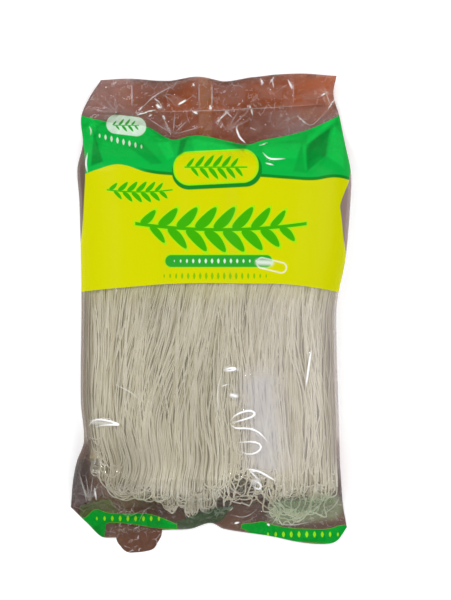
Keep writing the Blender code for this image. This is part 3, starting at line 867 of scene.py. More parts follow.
# %% Film finishes
INK = {
    "green": srgb(10, 172, 64), "yellow": srgb(202, 204, 0), "lime": srgb(150, 222, 16),
    "leaf": srgb(58, 168, 6), "shadow": srgb(14, 128, 34), "pill": srgb(44, 158, 44),
    "pale": srgb(206, 226, 206), "olive": srgb(126, 184, 10), "band": srgb(0, 152, 44),
    "folded": srgb(34, 78, 44), "note": srgb(176, 200, 158), "note_mark": srgb(84, 132, 80),
    "seen": srgb(84, 120, 50), "wall": srgb(120, 92, 80), "left_wall": srgb(94, 70, 58),
    # The two colours below are no inks: a painted shade and a painted sheen for the crumpled facets
    "shade": srgb(84, 48, 34), "painted_sheen": srgb(192, 146, 126),
}
WHITE = srgb(250, 250, 250)
HAZE = srgb(214, 202, 206)
# A painted reflection of the sky in the window, and a painted shade at the left foot
PAINTED_SKY_REFLECTION = srgb(222, 222, 238)
PAINTED_FOOT_SHADE = srgb(122, 112, 94)
LEFT_MILK = srgb(188, 180, 158)
RIGHT_MILK = srgb(222, 212, 204)
TINT_DEEP = srgb(114, 50, 13)
TINT = srgb(175, 83, 24)
TINT_FOOT = srgb(96, 68, 54)
TINT_CORNER = srgb(66, 30, 18)
TINT_LEFT = srgb(118, 79, 72)
TINT_FIN = srgb(160, 100, 40)
MIRROR = 0.45
MOST_MIRROR = 0.16
LEAST_COVER = 0.0001
WALL_LOW = 20 * MM
WALL_HIGH = 36 * MM
# Under a thicker haze the render's denoiser follows the film and blurs the noodles below it
MOST_WINDOW_HAZE = 0.235
FOLD_DEPTH = 0.25


def crinkle_lines():
    """Thin broken lines, as fine folds leave them in film, and the height of the folds."""
    group, given, made = new_group("crinkle lines", "ShaderNodeTree",
                                   (("Place", "NodeSocketVector"), ("Size", FLOAT), ("Width", FLOAT),
                                    ("Broken", FLOAT)),
                                   (("Line", FLOAT), ("Height", FLOAT)))
    push = add(group, "ShaderNodeTexNoise", {"Vector": given["Place"], "Scale": 90.0, "Detail": 2.0})
    bent = moved(group, given["Place"], scaled(group, push.outputs["Color"], 0.008))
    scale = ratio(group, 1.0, given["Size"])
    cells = add(group, "ShaderNodeTexVoronoi", {"Vector": bent, "Scale": scale},
                feature="DISTANCE_TO_EDGE", voronoi_dimensions="2D")
    away = times(group, cells.outputs["Distance"], given["Size"])
    line = ramp(group, ratio(group, away, given["Width"]), 0.2, 1.0, 1.0, 0.0)
    patchy = noise_of(group, given["Place"], times(group, scale, 0.9), 3.0)
    shown = ramp(group, minus(group, patchy, given["Broken"]), 0.0, 0.16)
    group.links.new(times(group, line, shown), made["Line"])
    group.links.new(away, made["Height"])
    return group


CRINKLE = crinkle_lines()
print("the crinkle group has", len(CRINKLE.nodes), "nodes")


def crinkled(tree, place, size, width, broken):
    """Lines and height of one size of crinkle, with its size and width in metres."""
    made = add(tree, "ShaderNodeGroup", {"Place": place, "Size": size, "Width": width, "Broken": broken},
               node_tree=CRINKLE)
    return made.outputs["Line"], made.outputs["Height"]


def film_shader(tree, colour, cover, normal, printed=None, mirror=MIRROR):
    """Transparent film with ink or haze in it, and a mirror gloss over it that is duller on ink."""
    body = add(tree, "ShaderNodeBsdfPrincipled",
               {"Roughness": 0.4, "Specular IOR Level": 0.0, "Normal": normal})
    tree.links.new(colour, body.inputs["Base Color"])
    clear = add(tree, "ShaderNodeBsdfTransparent")
    inked = add(tree, "ShaderNodeMixShader", {0: cover, 1: clear.outputs[0], 2: body.outputs[0]})
    dull = 0.07 if printed is None else times_plus(tree, printed, 0.2, 0.07)
    gloss = add(tree, "ShaderNodeBsdfGlossy", {"Roughness": dull, "Normal": normal})
    fresnel = add(tree, "ShaderNodeFresnel", {"IOR": 1.5, "Normal": normal})
    share = smaller(tree, times(tree, fresnel.outputs[0], mirror), MOST_MIRROR)
    if printed is not None:
        share = times(tree, share, times_plus(tree, printed, -0.8, 1.0))
    top = add(tree, "ShaderNodeMixShader", {0: share, 1: inked.outputs[0], 2: gloss.outputs[0]})
    add(tree, "ShaderNodeOutputMaterial", {"Surface": top.outputs[0]})


def film_bump(tree, place, folds):
    """Fine crinkles of the film as a bump, with the folds laid over them."""
    fine = noise_of(tree, stretched(tree, place, (160, 60, 100)), 1.0, 3.0)
    low = add(tree, "ShaderNodeBump", {"Height": fine, "Strength": 0.15, "Distance": 0.0006}).outputs[0]
    return add(tree, "ShaderNodeBump",
               {"Height": folds, "Strength": 0.5, "Distance": 1.0, "Normal": low}).outputs[0]


def plan_of(tree):
    """Place on the film, then across and along in millimetres, as the photograph shows them."""
    place = add(tree, "ShaderNodeTexCoord").outputs["Object"]
    split = add(tree, "ShaderNodeSeparateXYZ", {0: place})
    stretch = ratio(tree, EYE.z, minus(tree, EYE.z, split.outputs[2]))
    seen = []
    for socket, eye in zip(split.outputs, EYE.xy):
        away = times(tree, minus(tree, socket, eye), stretch)
        seen.append(times(tree, plus(tree, away, eye), 1000.0))
    return place, *seen


# %% [markdown]
# The print goes on in layers, as on a press: the fields first, then the motifs. Each step takes the
# colour and the cover so far and gives them back with its own ink added.

# %% Film: the print on it
def add_cover(tree, colour, cover, share, ink):
    """Colour and cover when an ink takes a further share of the film that was free."""
    whole = larger(tree, plus(tree, cover, share), LEAST_COVER)
    return blend(tree, ratio(tree, share, whole), colour, ink), whole


def in_panel(tree, x, y):
    """1 between the side edges of the print."""
    left = minus(tree, 1.0, below_line(tree, y, x, PANEL_LEFT))
    return times(tree, left, below_line(tree, y, x, PANEL_RIGHT))


def print_panel(tree, x, y):
    """The green and yellow fields with their motifs, as colour and cover."""
    trim = below_line(tree, x, minus(tree, y, TRIM_HEIGHT), YELLOW_TOP)
    trim = times(tree, trim, ramp(tree, x, -56.0, -40.0))
    colour = blend(tree, trim, INK["green"], INK["shadow"])
    colour = blend(tree, below_line(tree, x, y, YELLOW_TOP), colour, INK["yellow"])
    bottom = below_line(tree, x, y, YELLOW_BOTTOM)
    cover = minus(tree, below_line(tree, x, y, GREEN_TOP), bottom)
    cover = larger(tree, cover, times(tree, bottom, ramp(tree, y, 1.0, 19.0, 0.0, 0.11)))
    cover = times(tree, cover, in_panel(tree, x, y))

    def paint(mask, ink):
        nonlocal colour
        colour = blend(tree, mask, colour, INK[ink])

    paint(inside(tree, round_shape(tree, x, y, *BADGE_UNDERSIDE)), "shadow")
    badge = round_shape(tree, x, y, *BADGE)
    paint(inside(tree, badge), "lime")
    paint(inside(tree, plus(tree, badge, BADGE_RIM)), "yellow")
    for ear in PANEL_EARS:
        grains, edge = draw_ear(tree, x, y, **ear)
        paint(edge, "lime")
        paint(grains, "leaf")
    pill = round_shape(tree, x, y, *PILL)
    paint(inside(tree, minus(tree, pill, PILL_RIM)), "lime")
    paint(inside(tree, pill), "pill")
    paint(draw_ear(tree, x, y, **PILL_MARKS)[0], "pale")
    paint(draw_ear(tree, x, y, **SMALL_MARKS)[0], "olive")
    paint(draw_ear(tree, x, times_plus(tree, x, MARKS_SLANT, y), **SLANTED_MARKS)[0], "pale")
    return colour, cover


def print_crest(tree, x, y, colour, cover):
    """The pale oval with a leaf near the left corner."""
    crest = inside(tree, round_shape(tree, x, y, *CREST))
    sprig = draw_ear(tree, x, y, **CREST_SPRIG)[0]
    colour = blend(tree, crest, colour, INK["pale"])
    colour = blend(tree, times(tree, crest, sprig), colour, INK["pill"])
    return colour, larger(tree, cover, times(tree, crest, 0.8))


def print_bands(tree, x, y, colour, cover):
    """The two green bands at the foot with small grain marks on them."""
    for top, bottom, low, high, marks in FOOT_BANDS:
        band = minus(tree, below_line(tree, x, y, top), below_line(tree, x, y, bottom))
        band = times(tree, band, between(tree, x, low, high))
        colour = blend(tree, band, colour, INK["band"])
        colour = blend(tree, times(tree, band, draw_ear(tree, x, y, **marks)[0]), colour, INK["lime"])
        cover = larger(tree, cover, times(tree, band, 0.97))
    return colour, cover


def print_folded(tree, x, y, colour, cover):
    """Ink on the folded film of the foot, seen through the front: a dark green patch and a pale note."""
    dark = minus(tree, below_line(tree, x, y, FOLDED_TOP), below_line(tree, x, y, FOLDED_BOTTOM))
    dark = times(tree, dark, between(tree, x, -36, 16), 0.62)
    light = minus(tree, below_line(tree, x, y, SEEN_TOP), below_line(tree, x, y, LEFT_BAND_TOP))
    light = times(tree, light, between(tree, x, -91, -64), 0.4)
    note = ramp(tree, round_shape(tree, x, y, *NOTE), -5.0, 2.0, 0.34, 0.0)
    marks = times(tree, larger(tree, *(draw_ear(tree, x, y, **m)[0] for m in NOTE_MARKS)), 0.55)
    for mask, ink in ((dark, "folded"), (light, "seen"), (note, "note"), (marks, "note_mark")):
        share = times(tree, mask, minus(tree, 1.0, cover))
        colour, cover = add_cover(tree, colour, cover, share, INK[ink])
    return colour, cover


def wall_tint(tree, x, y, place, colour, cover):
    """The brown of the film down the sides of the block, beside the print and along the window's edge."""
    beside_print = times(tree, ramp(tree, y, 12.0, 16.0), ramp(tree, y, 112.0, 122.0, 0.9, 0.0))
    beside_print = times(tree, beside_print, minus(tree, 1.0, in_panel(tree, x, y)))
    height = add(tree, "ShaderNodeSeparateXYZ", {0: place}).outputs[2]
    on_window = times(tree, ramp(tree, y, 14.0, 17.0, 1.0, 0.0), ramp(tree, y, -112.0, -98.0))
    on_window = times(tree, on_window, ramp(tree, height, WALL_LOW, WALL_HIGH, 1.0, 0.0))
    on_window = times(tree, on_window, ramp(tree, x, -20.0, 20.0, 0.95, 0.55))
    wall = times(tree, larger(tree, beside_print, on_window), minus(tree, 1.0, cover))
    brown = blend(tree, ramp(tree, x, -60.0, 60.0), INK["left_wall"], INK["wall"])
    return add_cover(tree, colour, cover, wall, brown)


# %% [markdown]
# Over the print lie the marks of use and some painted light. A haze is thicker in some places than in
# others, and rubbed folds and crinkles show white. Painted glints and highlights show white as well,
# and a painted sky reflection and a painted shade at the left foot lie in the haze.

# %% Film: haze, white marks and painted light
# Painted glints on the front film: centre and half size in millimetres, turn, and how white
PAINTED_GLINTS = (
    ((37.5, 34.5), (6.5, 2.2), -0.05, 0.75),
    ((14.5, -40), (5.5, 1.6), -0.1, 0.5),
    ((16, -58.6), (3.2, 1.5), -0.2, 0.9),
    ((-76, -77.6), (8.5, 2.4), -0.12, 0.55),
    ((31, -118.5), (4.2, 3.2), 0.3, 0.6),
    ((39, -83), (5, 11), 0.5, 0.22),
    ((44, -106), (4, 9), 0.4, 0.22),
)


def white_marks_and_highlights(tree, x, y, cloud, crinkles):
    """Where the film shows white: rubbed folds with painted highlights, painted glints, a painted ring of
    light and the crinkles.
    """
    rub_and_glint = attribute(tree, "rub_and_glint")
    width = times_plus(tree, rub_and_glint, 0.55, 0.14)
    beside = ratio(tree, calc(tree, "ABSOLUTE", attribute(tree, "beside")), width)
    rub_and_glint = times(tree, smaller(tree, rub_and_glint, 1.0), ramp(tree, beside, 0.6, 1.25, 1.0, 0.0))
    ring = calc(tree, "ABSOLUTE", round_shape(tree, x, y, *LIGHT_RING))
    glints = times(tree, ramp(tree, ring, 0.3, 0.9, 1.0, 0.0), ramp(tree, cloud, 0.38, 0.5, 0.6, 1.0))
    for centre, half, turn, strength in PAINTED_GLINTS:
        corner = 0.9 * min(half)
        glow = round_shape(tree, x, y, centre, half, corner, turn)
        glints = larger(tree, glints, ramp(tree, glow, -corner, 1.4, strength, 0.0))
    return larger(tree, rub_and_glint, glints, crinkles)


def haze_cover(tree, x, y, cloud, window, sky, foot):
    """How much the film's haze covers: its clouds, where it is thicker, a painted sky reflection and a
    painted foot shade.
    """
    haze = plus(tree, ramp(tree, cloud, 0.35, 0.7, 0.0, 0.07), ramp(tree, x, 15.0, 60.0, 0.0, 0.12))
    haze = times(tree, haze, ramp(tree, y, 138.0, 146.0, 1.0, 0.1))
    haze = larger(tree, haze, times(tree, window, ramp(tree, x, 0.0, 42.0, 0.18, MOST_WINDOW_HAZE)))
    left_header = times(tree, ramp(tree, x, -70.0, -28.0, 1.0, 0.0), ramp(tree, y, 118.0, 140.0))
    haze = plus(tree, haze, times(tree, left_header, ramp(tree, cloud, 0.3, 0.65, 0.0, 0.12)))
    haze = plus(tree, haze, times(tree, sky, ramp(tree, cloud, 0.38, 0.6, 0.0, 0.22)))
    haze = times(tree, haze, ramp(tree, y, -124.0, -104.0, 0.2, 1.0))
    haze = plus(tree, haze, times(tree, foot, ramp(tree, cloud, 0.3, 0.65, 0.16, 0.4)))
    most = times_plus(tree, sky, 0.16, ramp(tree, y, 60.0, 90.0, MOST_WINDOW_HAZE, 1.0))
    inner = larger(tree, ramp(tree, x, -88.0, -78.0, 0.15, 1.0), ramp(tree, y, -98.0, -84.0))
    return times(tree, smaller(tree, haze, most), inner)


def haze_tone(tree, x, window, sky, foot):
    """The haze's colour: milky over the window, a painted bluish reflection of the sky, and painted brown
    shade at the left foot.
    """
    milk = blend(tree, ramp(tree, x, 0.0, 42.0), LEFT_MILK, RIGHT_MILK)
    tone = blend(tree, times(tree, sky, 0.6), blend(tree, window, HAZE, milk), PAINTED_SKY_REFLECTION)
    return blend(tree, foot, tone, PAINTED_FOOT_SHADE)


# %% [markdown]
# The front film stacks all of this from below to above. The back film is plain, and brown where it
# lies empty on the table.

# %% Film: front and back
def loose_film(tree, y, head, foot):
    """1 on the empty film and 0 over the block, with a ramp between two places at the head and the foot."""
    return larger(tree, ramp(tree, y, *head), ramp(tree, y, *foot, 1.0, 0.0))


def printed_film():
    """The front film, from below: print with painted facet shading, brown walls, haze, white marks and
    painted highlights.
    """
    material, tree = new_material("printed_film")
    place, x, y = plan_of(tree)
    colour, cover = print_panel(tree, x, y)
    colour, cover = print_crest(tree, x, y, colour, cover)
    colour, printed = print_bands(tree, x, y, colour, cover)
    colour, cover = print_folded(tree, x, y, colour, printed)
    # Painted light and shade: the print is made lighter or darker by the facet tone stored on the mesh
    tilt = attribute(tree, "tilt")
    lit = ramp_linear(tree, tilt, -1.0, 1.0)
    light_painted = add(tree, "ShaderNodeMapRange", {"Value": lit, "To Min": 0.52, "To Max": 1.48}).outputs[0]
    colour, cover = wall_tint(tree, x, y, place, scaled(tree, colour, light_painted), cover)

    cloud = noise_of(tree, place, 22.0, 4.0)
    loose = loose_film(tree, y, (92.0, 116.0), (-128.0, -104.0))
    window = ramp(tree, y, 30.0, 60.0, 1.0, 0.0)
    sky = ramp(tree, round_shape(tree, x, y, *SKY_REFLECTION_PATCH), -14.0, 9.0, 1.0, 0.0)
    foot = ramp(tree, round_shape(tree, x, y, *FOOT_SHADE_PATCH), -18.0, 6.0, 1.0, 0.0)
    bare = minus(tree, 1.0, printed)
    # Painted light and shade on crumpled facets: a pale sheen on facets towards the light and a dark shade
    # on the others
    turned = times(tree, calc(tree, "ABSOLUTE", tilt), loose, ramp(tree, y, 0.0, 60.0, 0.06, 0.28))
    haze = larger(tree, haze_cover(tree, x, y, cloud, window, sky, foot), turned)
    haze = times(tree, haze, bare)
    painted_facet_colour = blend(tree, lit, INK["shade"], INK["painted_sheen"])
    tone = blend(tree, times(tree, turned, 3.5), haze_tone(tree, x, window, sky, foot), painted_facet_colour)

    lines, folds = crinkled(tree, place, 10 * MM, 0.4 * MM, 0.52)
    finer, finer_folds = crinkled(tree, place, 5 * MM, 0.3 * MM, 0.58)
    crinkles = times(tree, larger(tree, lines, finer), loose, bare, ramp(tree, y, 60.0, 100.0, 0.34, 0.14))
    # White marks: rubbed folds, crinkles, and painted highlights, glints and a ring of light
    white = white_marks_and_highlights(tree, x, y, cloud, crinkles)
    tone = blend(tree, white, tone, WHITE)
    haze = larger(tree, haze, times(tree, white, 0.94))
    behind = times(tree, minus(tree, 1.0, haze), cover, 0.985)
    colour, cover = add_cover(tree, colour, behind, haze, tone)
    folds = times(tree, plus(tree, folds, finer_folds), loose, FOLD_DEPTH)
    film_shader(tree, colour, cover, film_bump(tree, place, folds), printed)
    return material


def tinted_film(name, line_size, line_cover, mirror):
    """Back film: the same clear film, brown where it lies empty on the table."""
    material, tree = new_material(name)
    place, x, y = plan_of(tree)
    cloud = noise_of(tree, place, 14.0, 5.0)
    colour = blend(tree, ramp(tree, cloud, 0.3, 0.7), TINT_DEEP, TINT)
    colour = blend(tree, ramp(tree, x, -80.0, -35.0, 0.7, 0.0), colour, TINT_LEFT)
    colour = blend(tree, times(tree, below_line(tree, x, y, SEAL_LINE), 0.5), colour, TINT_DEEP)
    colour = blend(tree, times(tree, between(tree, x, -8.5, 0.7), 0.35), colour, TINT_FIN)
    colour = blend(tree, ramp(tree, y, -140.0, -90.0, 0.9, 0.0), colour, TINT_FOOT)
    corner = times(tree, ramp(tree, x, -88.0, -76.0, 1.0, 0.0), ramp(tree, y, -98.0, -82.0, 1.0, 0.0))
    colour = blend(tree, corner, colour, TINT_CORNER)
    lines, folds = crinkled(tree, place, line_size, 0.4 * MM, 0.5)
    colour = blend(tree, times(tree, lines, line_cover), colour, HAZE)
    foot_sides = ramp(tree, calc(tree, "ABSOLUTE", x), 79.0, 85.0)
    foot_sides = times(tree, foot_sides, ramp(tree, y, -96.0, -82.0, 1.0, 0.0))
    loose = larger(tree, loose_film(tree, y, (88.0, 112.0), (-118.0, -92.0)), foot_sides)
    colour = blend(tree, loose, HAZE, colour)
    cover = ramp(tree, loose, 0.0, 1.0, 0.25, 0.95)
    film_shader(tree, colour, cover, film_bump(tree, place, times(tree, folds, FOLD_DEPTH)), mirror=mirror)
    return material


film = film_shell((printed_film(), tinted_film("back_film", 7 * MM, 0.3, 0.1)))
ride_in_bag(film)

# %% [markdown]
# The tail is a loose tongue of the same film below the foot, with a round end. It is a flat lens made
# of rings, crinkled on top.

# %% Tail of film
TAIL_CENTRE = (-50.5 * MM, -151.5 * MM)
TAIL_HALF_WIDTH = 16 * MM
TAIL_REACH = 15.5 * MM
TAIL_RINGS = 22
TAIL_SPOKES = 72


def tail_of_film(material):
    """A flat lens with a ragged rim: an upper and a lower skin of rings, joined at their last ring."""
    turns = np.arange(TAIL_SPOKES) * 2 * math.pi / TAIL_SPOKES
    share, angle = np.meshgrid(np.linspace(0, 1, TAIL_RINGS + 1)[1:], turns, indexing="ij")
    ragged = share * (1 + 0.035 * np.sin(3 * angle + 0.6) + 0.02 * np.sin(7 * angle + 2.0))
    x = TAIL_CENTRE[0] + TAIL_HALF_WIDTH * ragged * np.sign(np.cos(angle)) * np.abs(np.cos(angle)) ** 0.7
    y = TAIL_CENTRE[1] + TAIL_REACH * ragged * np.sign(np.sin(angle)) * np.abs(np.sin(angle)) ** 0.75
    fade = np.sqrt(1 - share**4)
    upper = 0.4 * MM + fade * (1.4 * MM + np.abs(facets(x, y, 6 * MM, 2.6 * MM)))
    lower = 0.3 * MM + 0.1 * MM * share
    mesh = bpy.data.meshes.new("film_tail")
    tail = bmesh.new()
    skins = []
    for z, hub in ((upper, 2.6 * MM), (lower, 0.3 * MM)):
        rings = [[tail.verts.new(point) for point in zip(*ring)] for ring in zip(x, y, z)]
        centre = tail.verts.new((*TAIL_CENTRE, hub))
        for k in range(TAIL_SPOKES):
            after = (k + 1) % TAIL_SPOKES
            tail.faces.new((centre, rings[0][k], rings[0][after]))
            for inner, outer in zip(rings, rings[1:]):
                tail.faces.new((inner[k], outer[k], outer[after], inner[after]))
        skins.append(rings[-1])
    for k in range(TAIL_SPOKES):
        after = (k + 1) % TAIL_SPOKES
        tail.faces.new((skins[0][k], skins[0][after], skins[1][after], skins[1][k]))
    bmesh.ops.recalc_face_normals(tail, faces=tail.faces)
    tail.to_mesh(mesh)
    tail.free()
    mesh.shade_smooth()
    return link_piece("film_tail", mesh, (material,))


ride_in_bag(tail_of_film(tinted_film("tail_film", 5 * MM, 0.6, MIRROR)))

# %% [markdown]
# The noodles need a surface to follow. The guide is the inside of the bag, unrolled: a tube round the
# block whose map says how far round it and how far along it each point is. A noodle can then be drawn
# flat on that map and laid on the block, over its top, down its sides or under it.

# %% Guide round the block
GUIDE_LOW = -150 * MM
GUIDE_HIGH = 126 * MM
GUIDE_TOP_HALF = 90 * MM
GUIDE_SIDE = 30 * MM
GUIDE_ROUND = 4 * (GUIDE_TOP_HALF + GUIDE_SIDE / 2)
GUIDE_INSET = 0.968
GUIDE_COLUMNS = 160
GUIDE_ROWS = 92
FOOT_PINCH = 0.05
PINCH_LOW = -112 * MM
PINCH_HIGH = -84 * MM


def inside_of_bag(gap):
    """A grid of points round the block, gap below the film, and the room that is left under each."""
    around = np.linspace(-0.5, 0.5, GUIDE_COLUMNS + 1) * GUIDE_ROUND
    u, y = np.meshgrid(around, np.linspace(GUIDE_LOW, GUIDE_HIGH, GUIDE_ROWS + 1))
    flat = np.abs(u)
    across = np.clip(flat / GUIDE_TOP_HALF, 0, 1)
    across = np.minimum(across, np.clip((GUIDE_ROUND / 2 - flat) / GUIDE_TOP_HALF, 0, 1))
    pinch = FOOT_PINCH * (1 - smoothstep(PINCH_LOW, PINCH_HIGH, y)) * (u < 0)
    s = 0.5 + 0.5 * (GUIDE_INSET - pinch) * np.sign(u) * across
    foot, head = through(FOOT_END, s), through(HEADER_END, s)
    t = np.clip((y - foot) / (head - foot), 0.02, 0.98)
    x, y = in_plan(s, t)
    front, back = front_and_back(s, t, x, y)
    gap = np.minimum(gap, 0.4 * (front - back))
    down = smoothstep(GUIDE_TOP_HALF, GUIDE_TOP_HALF + GUIDE_SIDE, flat)
    z = (1 - down) * (front - gap) + down * (back + gap)
    return np.stack((x, y, z), -1), 0.45 * (front - back) - gap


def guide_mesh():
    """The guide as a mesh with its map and the room under each point."""
    points, room = inside_of_bag(NOODLE_CLEARANCE)
    rows, columns = points.shape[:2]
    index = np.arange(rows * columns).reshape(rows, columns)
    mesh = bpy.data.meshes.new("guide")
    mesh.from_pydata(points.reshape(-1, 3).tolist(), [], grid_quads(index).tolist())
    mesh.shade_smooth()
    mesh.attributes.new("room", "FLOAT", "POINT").data.foreach_set("value", np.maximum(room, 0).ravel())
    around = np.tile(np.linspace(0, 1, columns), rows)
    along = np.repeat(np.linspace(0, 1, rows), columns)
    corners = np.array([loop.vertex_index for loop in mesh.loops])
    layer = mesh.uv_layers.new(name="unrolled")
    layer.data.foreach_set("uv", np.stack((around[corners], along[corners]), -1).ravel())
    return mesh


guide = link_piece("guide", guide_mesh())
print("guide goes", round(GUIDE_ROUND / MM), "mm round the block")

# %% [markdown]
# Rice vermicelli is hung over rods to dry, so a hank is many long noodles folded in half. Each one is
# drawn as a hairpin: two legs and a half turn. Its wander comes from three layers of noise: one that
# all noodles share, one for each lock of neighbours, and a small one of its own. Geometry Nodes suit
# this well, because one tree with named inputs makes all the hanks.

# %% Hank: its inputs
HANK_COUNTS = ("Noodles", "Points", "Lock", "Seed")
HANK_LENGTHS = ("Left", "Right", "Head", "Foot Drop", "Foot Scatter", "Tightest Turn", "Widest Turn",
                "Lean Left", "Lean Right", "Ripple", "Shallow", "Deep", "Noodle Radius")
HANK_INPUTS = (
    ("Geometry", "NodeSocketGeometry"), ("Guide", "NodeSocketObject"),
    *((name, "NodeSocketInt") for name in HANK_COUNTS),
    *((name, FLOAT) for name in HANK_LENGTHS), ("Wander", FLOAT), ("Finish", "NodeSocketMaterial"),
)
# How far down the noodles reach, at each place round the block, both in millimetres
FOOT_LINE = ((-210, -128), (-150, -124), (-120, -108), (-95, -88), (-86, -92), (-80, -110), (-70, -125),
             (-50, -130), (-40, -131), (-32, -133), (-27, -138), (-17, -140), (-4, -139), (5, -134),
             (13, -120), (24, -115), (36, -117), (44, -124), (54, -131), (76, -131), (88, -126),
             (120, -126), (150, -128), (210, -128))
FOOT_DEEPEST = -160
FOOT_HIGHEST = -60


print("a hank has", len(HANK_INPUTS) - 1, "sizes and settings")

# %% [markdown]
# Each helper adds the nodes for one fact of a noodle, drawn flat: where its half turn hangs, how its
# legs run, how its hank leans and how it wanders.

# %% Hank: one noodle, drawn flat
def random_number(group, given, low, high, salt, key):
    """A random number for each key. The salt keeps one use of the seed apart from another."""
    inputs = {2: low, 3: high, "ID": key, "Seed": plus(group, given["Seed"], float(salt))}
    return add(group, "FunctionNodeRandomValue", inputs, data_type="FLOAT").outputs[1]


def drift(group, given, a, b, salt, size):
    """Smooth noise around 0 over two coordinates, about size high."""
    layer = plus(group, given["Seed"], float(salt))
    spot = add(group, "ShaderNodeCombineXYZ", {0: a, 1: b, 2: layer}).outputs[0]
    return times(group, minus(group, noise_of(group, spot, 1.0, 1.0), 0.5), size)


def foot_of_noodle(group, given, centre, strand, lock):
    """How far down the half turn of a noodle hangs: the foot line, with the scatter of noodles and locks."""
    half_round = GUIDE_ROUND / 2 / MM
    depth_range = FOOT_HIGHEST - FOOT_DEEPEST
    spots = [(0.5 + 0.5 * a / half_round, (b - FOOT_DEEPEST) / depth_range) for a, b in FOOT_LINE]
    hangs_at = calc(group, "FRACT", times_plus(group, centre, 1 / GUIDE_ROUND, 0.5))
    tip = times_plus(group, curve_through(group, spots, hangs_at), depth_range * MM, FOOT_DEEPEST * MM)
    tip = minus(group, tip, given["Foot Drop"])
    late = random_number(group, given, 0.0, 1.0, 3, strand)
    tip = times_plus(group, times(group, late, late), given["Foot Scatter"], tip)
    return times_plus(group, random_number(group, given, -0.25, 0.45, 4, lock), given["Foot Scatter"], tip)


def hairpin(group, given, tip, radius, strand, factor):
    """A half turn and two straight legs: the leg's side, the way along it, and the point out and along."""
    signed = times_plus(group, factor, 2.0, -1.0)
    side = calc(group, "SIGN", signed)
    head = minus(group, given["Head"], random_number(group, given, 0.0, 8 * MM, 5, strand))
    run = calc(group, "POWER", calc(group, "ABSOLUTE", signed), 1.7)
    run = times(group, run, minus(group, head, tip))
    turned = smaller(group, ratio(group, run, radius), math.pi / 2)
    straight = larger(group, minus(group, run, times(group, radius, math.pi / 2)), 0.0)
    out = times(group, side, radius, calc(group, "SINE", turned))
    up = times(group, radius, minus(group, 1.0, calc(group, "COSINE", turned)))
    return side, run, out, plus(group, tip, up, straight)


def lean_of(group, given, place, along):
    """How far a hank leans to the side, which grows from its foot to its head."""
    lean = minus(group, given["Lean Right"], given["Lean Left"])
    lean = times_plus(group, lean, place, given["Lean Left"])
    return times(group, lean, ramp(group, along, -95 * MM, 45 * MM))


def wander_of(group, given, centre, along, strand, lock, side, run):
    """Sideways drift of a noodle: shared by all, shared by its lock, and its own, least at the half turn."""
    freed = times_plus(group, smaller(group, ratio(group, run, 60 * MM), 1.0), 0.75, 0.25)
    shared = drift(group, given, times(group, centre, 22.0), times(group, along, 6.0), 0.3, 26 * MM)
    locked = drift(group, given, times(group, lock, 3.7), times(group, along, 8.0), 7.1, 19 * MM)
    legs = times_plus(group, side, 0.5, times(group, strand, 5.3))
    own = drift(group, given, legs, times(group, along, 13.0), 13.9, 5 * MM)
    return times(group, plus(group, shared, locked, own), freed, given["Wander"])


# %% [markdown]
# The flat drawing is laid on the guide, each noodle sinks to its own depth, and the bent lines get a
# round skin. The last function puts all of it together.

# %% Hank: laid on the guide
def lay_on_guide(group, given, around, along, strand, lock):
    """The place on the guide of a point of the flat drawing, and how deep the noodle lies under it there."""
    def stored(name, kind):
        return add(group, "GeometryNodeInputNamedAttribute", {"Name": name}, data_type=kind).outputs[0]

    u = calc(group, "FRACT", times_plus(group, around, 1 / GUIDE_ROUND, 0.5))
    v = smaller(group, larger(group, ramp_linear(group, along, GUIDE_LOW, GUIDE_HIGH), 0.002), 0.998)
    spot = add(group, "ShaderNodeCombineXYZ", {0: u, 1: v}).outputs[0]
    body = add(group, "GeometryNodeObjectInfo", {"Object": given["Guide"]}).outputs["Geometry"]
    where = {"Mesh": body, "UV Map": stored("unrolled", "FLOAT_VECTOR"), "Sample UV": spot}

    def read(field, kind):
        reading = add(group, "GeometryNodeSampleUVSurface", where, data_type=kind)
        group.links.new(field, reading.inputs["Value"])
        return reading.outputs["Value"]

    surface = read(add(group, "GeometryNodeInputPosition").outputs[0], "FLOAT_VECTOR")
    outward = read(add(group, "GeometryNodeInputNormal").outputs[0], "FLOAT_VECTOR")
    depth = random_number(group, given, given["Shallow"], given["Deep"], 6, strand)
    weave = drift(group, given, times(group, strand, 2.9), times(group, along, 14.0), 23.7, 3 * MM)
    swell = drift(group, given, times(group, lock, 2.3), times(group, along, 8.0), 31.9, 8 * MM)
    depth = larger(group, plus(group, depth, weave, swell), 0.0)
    depth = smaller(group, depth, read(stored("room", "FLOAT"), "FLOAT"))
    return moved(group, surface, scaled(group, outward, times(group, depth, -1.0))), depth


def round_noodles(group, given, laid, marks):
    """The lines themselves with their marks, bent into place and given a round skin and a finish."""
    def step(kind, inputs, **settings):
        return add(group, kind, inputs, **settings).outputs[0]

    line = step("GeometryNodeCurvePrimitiveLine", {})
    line = step("GeometryNodeResampleCurve", {"Curve": line, "Count": given["Points"]})
    copies = {"Geometry": line, "Amount": given["Noodles"]}
    many = step("GeometryNodeDuplicateElements", copies, domain="SPLINE")
    for label, value in marks:
        inputs = {"Geometry": many, "Name": label, "Value": value}
        many = step("GeometryNodeStoreNamedAttribute", inputs, data_type="FLOAT", domain="POINT")
    bent = step("GeometryNodeSetPosition", {"Geometry": many, "Position": laid})
    ring = step("GeometryNodeCurvePrimitiveCircle", {"Resolution": 4, "Radius": given["Noodle Radius"]})
    tubes = step("GeometryNodeCurveToMesh", {"Curve": bent, "Profile Curve": ring, "Fill Caps": True})
    smooth = step("GeometryNodeSetShadeSmooth", {"Geometry": tubes})
    whole = step("GeometryNodeRealizeInstances", {"Geometry": smooth})
    return step("GeometryNodeSetMaterial", {"Geometry": whole, "Material": given["Finish"]})


